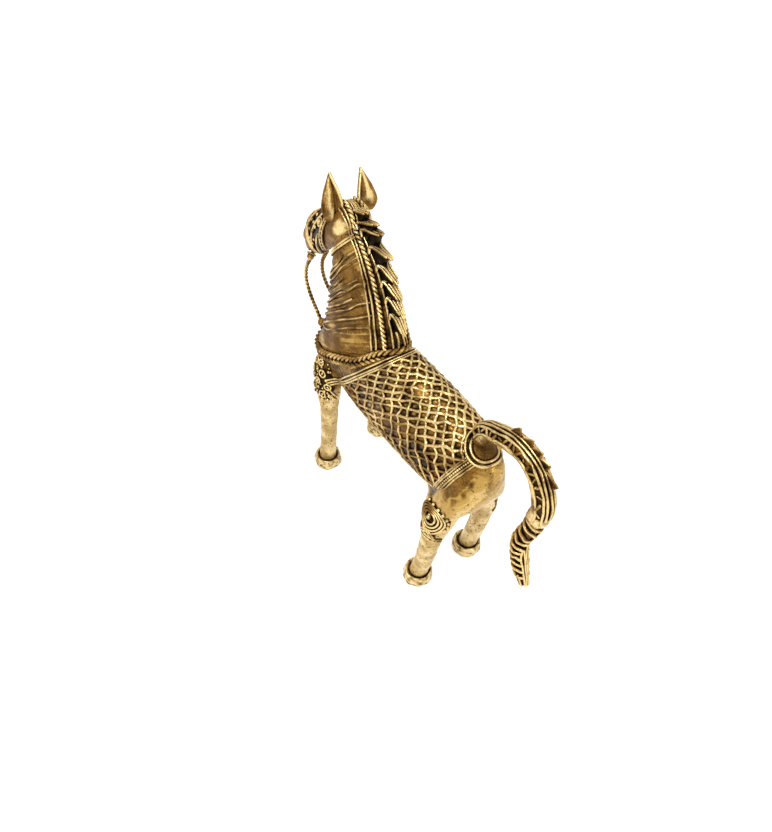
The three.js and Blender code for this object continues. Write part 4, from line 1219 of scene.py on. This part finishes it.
def earPiece(side):
    s = ears | ears[side]
    root = head.laid(0.2, turn * 0.2, -s["sink"])[0] * np.array([1.0, s["hand"], 1.0]) + across * s["shift"]
    front = np.array([-math.cos(s["facing"]), math.sin(s["facing"]), 0.0])
    wide = np.array([math.sin(s["facing"]), math.cos(s["facing"]), 0.0]) * s["hand"]
    belly = s["belly"]
    outline = spline([
        [0, 0.45, 0], [belly * 0.45, 0.82, 0], [belly, 1, 0],
        [mix(belly, 1, 0.4), 0.76, 0], [mix(belly, 1, 0.75), 0.36, 0], [1, 0.06, 0],
    ])
    stations, count = 50, 25
    rise, share = outline(np.linspace(0, 1, stations)).T[:2, :, None]
    sides = np.linspace(-1, 1, count)  # from the inner rim to the outer one
    middle = root + np.array(s["lean"]) * rise
    fold = bump(sides, s["groove"] - 0.65, s["groove"])

    def leaf(sides, dip, thick):
        over = sides * share * s["width"] / 2
        bow = share * (s["dish"] * sides ** 2 - s["fold"] * dip - thick * s["thick"])
        return middle[:, None] + wide * over[..., None] + front * bow[..., None]

    wax = Wax()
    rings = np.concatenate([leaf(sides, fold, 0.0), leaf(sides[::-1] * 0.97, 0.0, 1.0)], axis=1)
    # painted shade in the fold's groove and in the hollow low on the leaf
    deep = bump(sides, 0.35, 0.3) * bump(rise, 0.2, 0.08)
    stainAndShade = np.concatenate([np.maximum(0.9 * fold, 0.8 * deep), np.zeros((stations, count))], axis=1)
    # painted highlight: a bright band down the leaf
    band = 0.7 * bump(sides, s["highlightAt"], 0.25) * smooth(0.1, 0.3, rise)
    shine = np.concatenate([0.62 + band, np.full((stations, count), 0.75)], axis=1)
    wax.skin(rings, shine + 0.18 * dents(rings, 6.0, seed=41), stainAndShade)
    edge = leaf(np.array([-1.0]), 0.0, 0.3)[:, 0]
    wax.wire(edge, np.broadcast_to(front, edge.shape), s["rim"], glow=0.1)
    cast(wax, side + "_ear")


earPiece("left")
earPiece("right")


# Bridle: noseband, cheek straps, bit bosses, twisted reins and the two bosses they end at low on the neck
def bridlePieces():
    s = {
        "noseband": 0.72, "nosebandShifts": (-0.02, 0.0, 0.02), "strap": 0.6, "strapShifts": (-1.0, 0.9),
        "strapPellet": 0.7, "bit": 0.96, "bitRadius": 2.0, "bitRing": (2.2, 0.5), "bossRadius": 2.5,
        "bossRing": (2.8, 0.6), "bossRise": 0.1, "rein": 2.4, "bow": 4.5, "lay": 4.4, "gap": 0.3,
    }
    wax = Wax()
    for shift in s["nosebandShifts"]:
        wax.wire(*head.laid(s["noseband"] + shift, circle(160), 0.45), s["strap"], looped=True)
    cast(wax, "noseband")
    bit, bitOut = head.laid(s["bit"], turn * 0.4, s["gap"] + s["bitRadius"])
    boss, bossOut = neck.laid(neckSizes["collar"] + s["bossRise"], turn * 0.45, s["gap"] + s["bossRadius"])
    aim = unit(np.array([0.6, 0.1, 0.8]))
    top = bit - np.array([0, 0, s["bitRadius"] * 0.6])
    foot = boss + aim * s["bossRadius"] * 0.7
    rein = spline([
        top,
        [top[0] + s["bow"], mix(top[1], foot[1], 0.1), mix(top[2], foot[2], 0.28)],
        [top[0] + s["bow"] * 0.9, mix(top[1], foot[1], 0.3), mix(top[2], foot[2], 0.55)],
        [mix(top[0], foot[0], 0.23), mix(top[1], foot[1], 0.6), mix(top[2], foot[2], 0.8)],
        foot + aim * 2 * s["rein"],
        foot,
    ])(np.linspace(0, 1, 220))
    u = np.linspace(0, 1, 80)
    strap, strapOut = head.laid(mix(0.26, 0.49, u), turn * mix(0.15, 0.42, u), 0.5)
    wax = Wax()
    for shift in s["strapShifts"]:
        wax.wire(beside(strap, strapOut, shift), strapOut, s["strap"])
    for k in range(4, 78, 9):
        wax.pellet(strap[k], strapOut[k], s["strapPellet"])
    castPair(wax, "cheek_strap")
    wax = Wax()
    wax.rope(rein, np.broadcast_to(across, rein.shape), s["rein"], s["lay"])
    castPair(wax, "rein")
    for node, centre, out, radius, sink, ring in (
        ("bit_boss", bit, bitOut, s["bitRadius"], 1.4, s["bitRing"]),
        ("rein_boss", boss, bossOut, s["bossRadius"], 1.8, s["bossRing"]),
    ):
        wax = Wax()
        wax.pellet(centre, out, radius, 1.0)
        wax.ring(centre - out * sink, out, *ring)
        castPair(wax, node)


bridlePieces()
print("head and bridle cast")


# Hooves: thick uneven cups, open round the foot of the leg
def hoofPieces():
    r, h, cup = hooves["radius"], hooves["height"], hooves["cup"]
    profile = spline([
        [0.02, 0, 0], [r * 0.8, 0, 0], [r * 0.95, 0, 0.12], [r, 0, h * 0.16], [r * 0.985, 0, h * 0.45],
        [r * 0.96, 0, h * 0.78], [r * 0.91, 0, h * 0.96], [r * 0.84, 0, h], [r * 0.77, 0, h * 0.93],
        [cup, 0, h * 0.84], [cup - 0.3, 0, h * 0.78], [cup - 0.9, 0, h * 0.76], [0.02, 0, h * 0.76],
    ])
    count = 70
    reach, _, level = profile(np.linspace(0, 1, count)).T[:, :, None]
    deep = smooth(45, 52, np.arange(count))[:, None]
    angle = circle(64)[None]
    for end, x, place in (("fore", foreX, stepped), ("hind", hindX, mirrored)):
        middle = np.array([x, hoofY, 0.0])
        rings = np.stack([reach * np.cos(angle), reach * np.sin(angle), level + 0 * angle], axis=-1)
        sway = 1 + 0.035 * dents(rings + middle, 6.0, seed=50) + 0.012 * dents(rings + middle, 2.5, seed=52)
        rings = rings * np.stack([sway, sway, np.ones(sway.shape)], axis=-1) + middle
        # painted shade: the inner wall of the cup, round the leg, is dark in patches
        gap = 0.7 * deep * smooth(-0.7, 0.5, dents(rings, 9.0, seed=54))
        pock = 0.8 * smooth(0.5, 0.9, dents(rings, 2.8, seed=53))
        wax = Wax()
        wax.skin(rings, 0.6 + 0.3 * dents(rings, 4.0, seed=51), np.maximum(gap, pock))
        castPair(wax, end + "_hoof", place, slot="leg_brass", material=legBrass)


hoofPieces()


# Shoulder clusters: ring beads and pellets packed on a dark ground, with short straps back to the blanket
def shoulderPieces():
    s = shoulder
    coils = [
        (0.727, 1.11, 2.0), (0.571, 1.1, 1.9), (0.6, 1.83, 2.0), (0.66, 1.48, 1.7), (0.79, 1.9, 1.9),
        (0.71, 2.15, 1.8), (0.8, 1.35, 1.7), (0.64, 0.72, 1.8), (0.85, 2.3, 1.7), (0.64, 2.45, 1.7),
    ]
    beads = [
        (0.76, 0.62), (0.69, 0.8), (0.54, 1.55), (0.655, 1.95), (0.74, 1.55), (0.56, 2.3), (0.84, 1.75),
        (0.61, 1.45), (0.69, 1.75), (0.6, 0.95), (0.535, 0.7), (0.53, 1.1), (0.55, 1.35), (0.54, 1.95),
        (0.55, 0.3), (0.575, 0.6),
    ]
    # small beads in between
    crumbs = [(0.53 + 0.31 * ((k * 0.618) % 1), 0.35 + 1.9 * ((k * 0.414 + 0.2) % 1)) for k in range(34)]
    way = circle(36)
    u = np.linspace(0, 1, 30)
    strap = mix(np.array(s["strapFrom"]), np.array(s["strapTo"]), u[:, None])
    strapOut = np.broadcast_to(across, strap.shape)

    def pellet(t, angle, lift, size):
        middle, out = foreLeg.laid([t], [angle])
        wax.pellet(pressed(middle, out, lift)[0], out[0], size)

    wax = Wax()
    for spot in crumbs:
        pellet(*spot, 0.25, s["crumb"])
    for t, angle, size in coils:
        up, over = np.sin(way) / foreLeg.pace(t, angle), np.cos(way) / foreLeg.girth(t, angle)
        points, normals = foreLeg.laid(t + up * size, angle + over * size)
        wax.wire(pressed(points, normals, 0.45), normals, s["wire"], looped=True)
        pellet(t, angle, 0.35, s["ringEye"])
    for spot in beads:
        pellet(*spot, 0.4, s["bead"])
    for shift in s["strapShifts"]:
        wax.wire(pressed(beside(strap, strapOut, shift), strapOut, 0.4), strapOut, s["strap"])
    for start, end in s["lowStraps"]:
        points, normals = foreLeg.laid(mix(start[0], end[0], u), mix(start[1], end[1], u))
        wax.wire(pressed(points, normals, 0.45), normals, s["strap"])
    castPair(wax, "shoulder_rosette", stepped)


shoulderPieces()


# Hip coils: loops drawn out round the rear of the thigh, with beads above and crossed wires below
def hipPieces():
    s = hip
    along, around = hindLeg.pace(s["at"], outward), hindLeg.girth(s["at"], outward)

    # a place beside the coil's middle, so many mm to the rear and up, pressed on the skin
    def spot(rear, up, lift):
        rear, up = np.atleast_1d(rear), np.atleast_1d(up)
        points, normals = hindLeg.laid(s["at"] + up / along, outward - rear / around)
        return pressed(points, normals, lift), normals

    rear, up = np.cos(circle(90)), np.sin(circle(90))
    rear, up = rear * np.where(rear > 0, s["rear"], 1.0), up * np.where(up < 0, s["below"], 1.0)
    glow = -0.3 * smooth(0.0, 1.2, up - rear)
    u = np.linspace(0, 1, 30)
    reach = turn * s["garterReach"]
    wax = Wax()
    for size in s["loops"]:
        wax.wire(*spot(rear * size, up * size, 0.45), s["wire"], looped=True, glow=glow)
    for size, rise in s["drops"]:
        (middle,), (out,) = spot(0.0, rise, 0.5)
        wax.pellet(middle, out, size)
    for k in range(s["beads"]):
        turned = turn * mix(-0.05, 0.3, k / (s["beads"] - 1))
        back, rise = math.cos(turned) * s["beadReach"] * s["rear"], math.sin(turned) * s["beadReach"]
        (bead,), (out,) = spot(back, rise, 0.4)
        wax.pellet(bead, out, s["bead"])
    for hand in (1, -1):
        for shift in (0.0, 0.25):
            line = outward - s["crossLean"] + hand * (mix(-0.1, 0.6, u) + shift)
            points, normals = hindLeg.laid(mix(s["at"] - 0.12, s["garter"], u), line)
            wax.wire(pressed(points, normals, 0.4), normals, s["wire"])
    castPair(wax, "hip_rosette")
    wax = Wax()
    points, normals = hindLeg.laid(s["garter"], np.linspace(outward - reach, outward + reach, 70))
    for shift in s["garterShifts"]:
        wax.wire(pressed(beside(points, normals, shift), normals, 0.35), normals, s["wire"])
    castPair(wax, "garter")


hipPieces()
print("legs, hooves and rosettes cast")

# Tail: a plain core, wires along its back, a ladder on its sides, leaf fins, wraps round its fall
tailTrim = {
    "wire": 0.66, "archFrom": 0.38, "archTo": 0.93, "windFrom": 0.05, "windTo": 0.345, "wraps": 10,
    "wrap": 0.85, "opening": 0.62, "fallWires": ((-0.55, 0.33), (-0.2, 0.3), (0.15, 0.2), (0.5, 0.2)),
    "tipWires": (1.3, 2.2, 3.1, 4.0, 4.9), "backWires": (-0.42, -0.03, 0.36), "cords": (0.68, 1.4),
    "rungs": 20, "fins": (0.522, 0.573, 0.612, 0.656, 0.707), "finHeight": 4.0, "finTip": 0.88, "finRim": 0.5,
}


def tailPiece():
    s = tailTrim
    t, angle = np.linspace(0, 1, 240)[:, None], circle(56)[None]
    points, normals = tail.laid(t, angle)
    lobe = 0.8 * bump(t, s["archFrom"], 0.02) - 0.7 * (1 - smooth(0.33, 0.36, t))
    points = points + normals * (dents(points, 6.0) * 0.14 + lobe)[..., None]
    ladder = (1 - smooth(1.3, 1.42, fromTop(angle))) * smooth(s["archFrom"] + 0.01, s["archFrom"] + 0.03, t)
    fall = 0.95 * (1 - smooth(s["archFrom"] - 0.04, s["archFrom"] - 0.02, t))
    wax = Wax()
    wax.skin(points, 0.8 + 0.2 * dents(points, 8.0, seed=61), np.maximum(ladder, fall), domes=(1.0, 0.0))
    # long wires run down the outer side of the fall to the tip, short ones lie round the tip
    for k, (around, end) in enumerate(s["fallWires"]):
        wax.wire(*tail.laid(np.linspace(0.0, end, 60), around + 0.1 * drift(60, 70 + k, 4), 0.1), 0.6)
    for around in s["tipWires"]:
        wax.wire(*tail.laid(np.linspace(0.0, 0.06, 30), around), 0.55)
    cast(wax, "tail", slot="body_brass")


# Wires along the back of the arch; each fin is a pointed leaf with a wire rim, leaning to the tip of the tail
def finPiece():
    s = tailTrim
    wax = Wax()
    count = 260
    for k, around in enumerate(s["backWires"]):
        run = np.linspace(s["archFrom"] + 0.02, s["archTo"], count)
        points, normals = tail.laid(run, around + 0.05 * drift(count, 74 + k, 14), 0.45)
        wax.wire(points, normals, s["wire"] * (1 + 0.15 * drift(count, 84 + k, 20)))
    u, tip = np.linspace(0, 1, 16), s["finTip"]
    high = s["finHeight"] * np.clip(u / tip, 0, 1) * np.where(u > tip, 1 - (u - tip) / (1 - tip) * 0.85, 1.0)
    half = across * 0.45
    for base in s["fins"]:
        along = base + mix(0.027, -0.02, u)
        rim, normals = tail.laid(along, -0.1, 0.5 + high)
        foot = tail.laid(along, -0.1, 0.1)[0]
        wax.wire(rim, normals, s["finRim"])
        wax.skin(np.stack([foot + half, rim + half * 0.5, rim - half * 0.5, foot - half], axis=1), 0.3, 0.9)
    cast(wax, "tail_fin_ridge")


# Two cords down each side of the arch, with uneven rungs between them
def tailCordPieces():
    s = tailTrim
    count = 220
    run, u = np.linspace(s["archFrom"], s["archTo"], count), np.linspace(0, 1, 20)
    wax = Wax()
    for n, around in enumerate(s["cords"]):
        points, normals = tail.laid(run, around + 0.06 * drift(count, 91 + n, 16), 0.4)
        wax.wire(points, normals, s["wire"] * (1 + 0.2 * drift(count, 93 + n, 24)))
    for k in range(s["rungs"]):
        base = mix(s["archFrom"] + 0.02, s["archTo"] - 0.02, k / (s["rungs"] - 1))
        base = base + 0.006 * math.sin(5.1 * k)
        ends = 0.72 + 0.26 * (math.sin(7.3 * k) > 0.45), 1.36 - 0.24 * (math.sin(4.9 * k) > 0.4)
        points, normals = tail.laid(base + 0.02 * math.sin(2.3 * k) * (u - 0.5), mix(*ends, u), 0.35)
        wax.wire(points, normals, 0.62 + 0.2 * math.sin(3.7 * k), glow=-0.1 + 0.15 * math.sin(6.1 * k))
    castPair(wax, "tail_cord")


# Wraps round the fall, open on its outer side where the long wires run
def windingPiece():
    s = tailTrim
    wax = Wax()
    count, opening = 90, s["opening"]
    for k in range(s["wraps"]):
        base = mix(s["windFrom"], s["windTo"], k / (s["wraps"] - 1))
        around = np.linspace(mix(opening, 0.2, float(smooth(0.15, 0.24, base))), turn - opening, count)
        sag = 0.02 * np.sin((around - opening) / (turn - 2 * opening) * math.pi)
        points, normals = tail.laid(base + sag + 0.007 * drift(count, 60 + k, 9), around, 0.15)
        wax.wire(points, normals, s["wrap"] * (1 + 0.15 * drift(count, 160 + k, 6)))
    cast(wax, "tail_winding")


tailPiece()
finPiece()
tailCordPieces()
windingPiece()


# Crupper rings round the root of the tail, with a dished plate inside them
def crupperPieces():
    s = crupper
    along, around = barrel.pace(crupperStation, 0.0), barrel.girth(crupperStation, 0.1)
    way = circle(120)

    def ringed(radius, lift):
        return barrel.laid(crupperStation + np.cos(way) * radius / along, np.sin(way) * radius / around, lift)

    for name, radius in (("outer", s["radius"]), ("inner", s["innerRadius"])):
        wax = Wax()
        wax.wire(*ringed(radius, s["lift"]), s["wire"], looped=True, sides=10)
        if name == "inner":
            reaches = (radius - 0.9, radius - 1.0, radius - 1.6, radius * 0.4, 0.3)
            lifts = (0.2, 0.9, 1.15, 1.0, 0.95)
            plate = np.stack([ringed(*ring)[0] for ring in zip(reaches, lifts)])
            wax.skin(plate, 0.3 + 0.2 * dents(plate, 5.0, seed=77), 0.45)
        cast(wax, "crupper_ring_" + name)


crupperPieces()

# The clay core is sealed in; the CAD's own piece stands for it
core = bpy.data.objects["clay_core"]
core.data.materials.clear()
core.data.materials.append(coreClay)
print("tail, crupper and core done")

# Floor and surround: white to the eye and in reflections, with the horse's soft shadow on the floor
stage = {"floor": 6.0, "glow": 0.75, "tone": 0.6, "sky": 0.4}


def floorPaint():
    paint = Paint(bpy.data.materials.new("whiteFloor"))
    plain = paint.node("ShaderNodeBsdfDiffuse", None, {"Color": (stage["tone"],) * 3 + (1.0,)})
    glow = paint.node("ShaderNodeEmission", None, {"Strength": stage["glow"]})
    dark = paint.node("ShaderNodeEmission", None, {"Strength": 0.0})
    lit = paint.node("ShaderNodeMixShader", None, {0: paint.seen(), 1: dark, 2: glow})
    both = paint.node("ShaderNodeAddShader", None, {0: plain, 1: lit})
    paint.feed(paint.tree.nodes["Material Output"], {"Surface": both})
    return paint.owner


half = stage["floor"] / 2
floorMesh = bpy.data.meshes.new("floor")
floorCorners = [(-half, -half, 0), (half, -half, 0), (half, half, 0), (-half, half, 0)]
floorMesh.from_pydata(floorCorners, [], [(0, 1, 2, 3)])
floorMesh.materials.append(floorPaint())
floor = linked("floor", floorMesh)


def surround():
    paint = Paint(bpy.data.worlds.new("surround"))
    white = {"Color": (1.0, 1.0, 1.0, 1.0)}
    sky = paint.node("ShaderNodeBackground", None, white | {"Strength": stage["sky"]})
    plain = paint.node("ShaderNodeBackground", None, white)
    both = paint.node("ShaderNodeMixShader", None, {0: paint.seen(), 1: sky, 2: plain})
    paint.feed(paint.tree.nodes["World Output"], {"Surface": both})
    return paint.owner


bpy.context.scene.world = surround()

# Soft lamps: a strong one high on the camera's left, a weaker fill on its right, and one from above
lamps = {
    "aim": (0, 0, 0.08),
    "keyLamp": {"place": (-0.15, 0.75, 0.85), "size": 0.3, "power": 6.0},
    "fillLamp": {"place": (-0.9, -0.2, 0.5), "size": 0.4, "power": 2.5},
    "topLamp": {"place": (0.25, 0.0, 1.1), "size": 0.4, "power": 3.0},
}
for name in ("keyLamp", "fillLamp", "topLamp"):
    light = bpy.data.lights.new(name, "AREA")
    light.shape = "DISK"
    light.size = lamps[name]["size"]
    light.energy = lamps[name]["power"]
    lamp = linked(name, light)
    lamp.location = lamps[name]["place"]
    lamp.rotation_euler = (Vector(lamps["aim"]) - lamp.location).to_track_quat("-Z", "Y").to_euler()
print("stage set")

# The camera that the photo was taken with, as fitted to it
shot = {
    "azimuth": 232.1, "elevation": 47.8, "roll": 4.7, "distance": 389.0, "target": (14.7, 0.0, 63.7),
    "focalPixels": 700.0, "photoHeight": 832, "sensor": 36,
}
azimuth, elevation, roll = (math.radians(shot[k]) for k in ("azimuth", "elevation", "roll"))
back = Vector((
    math.sin(azimuth) * math.cos(elevation), -math.cos(azimuth) * math.cos(elevation), math.sin(elevation)
))
level = (-back).cross(Vector((0, 0, 1))).normalized()
upright = level.cross(-back)
right = level * math.cos(roll) + upright * math.sin(roll)
up = upright * math.cos(roll) - level * math.sin(roll)
camera = bpy.data.cameras.new("camera")
camera.lens = shot["focalPixels"] / shot["photoHeight"] * shot["sensor"]
camera.sensor_width = shot["sensor"]
camera.clip_start = 0.01
camera.clip_end = 20
eye = linked("camera", camera)
place = (Vector(shot["target"]) + Vector(origin) + back * shot["distance"]) * mm
eye.matrix_world = Matrix.Translation(place) @ Matrix((right, up, back)).transposed().to_4x4()
bpy.context.scene.camera = eye
bpy.context.scene.view_settings.view_transform = "Standard"
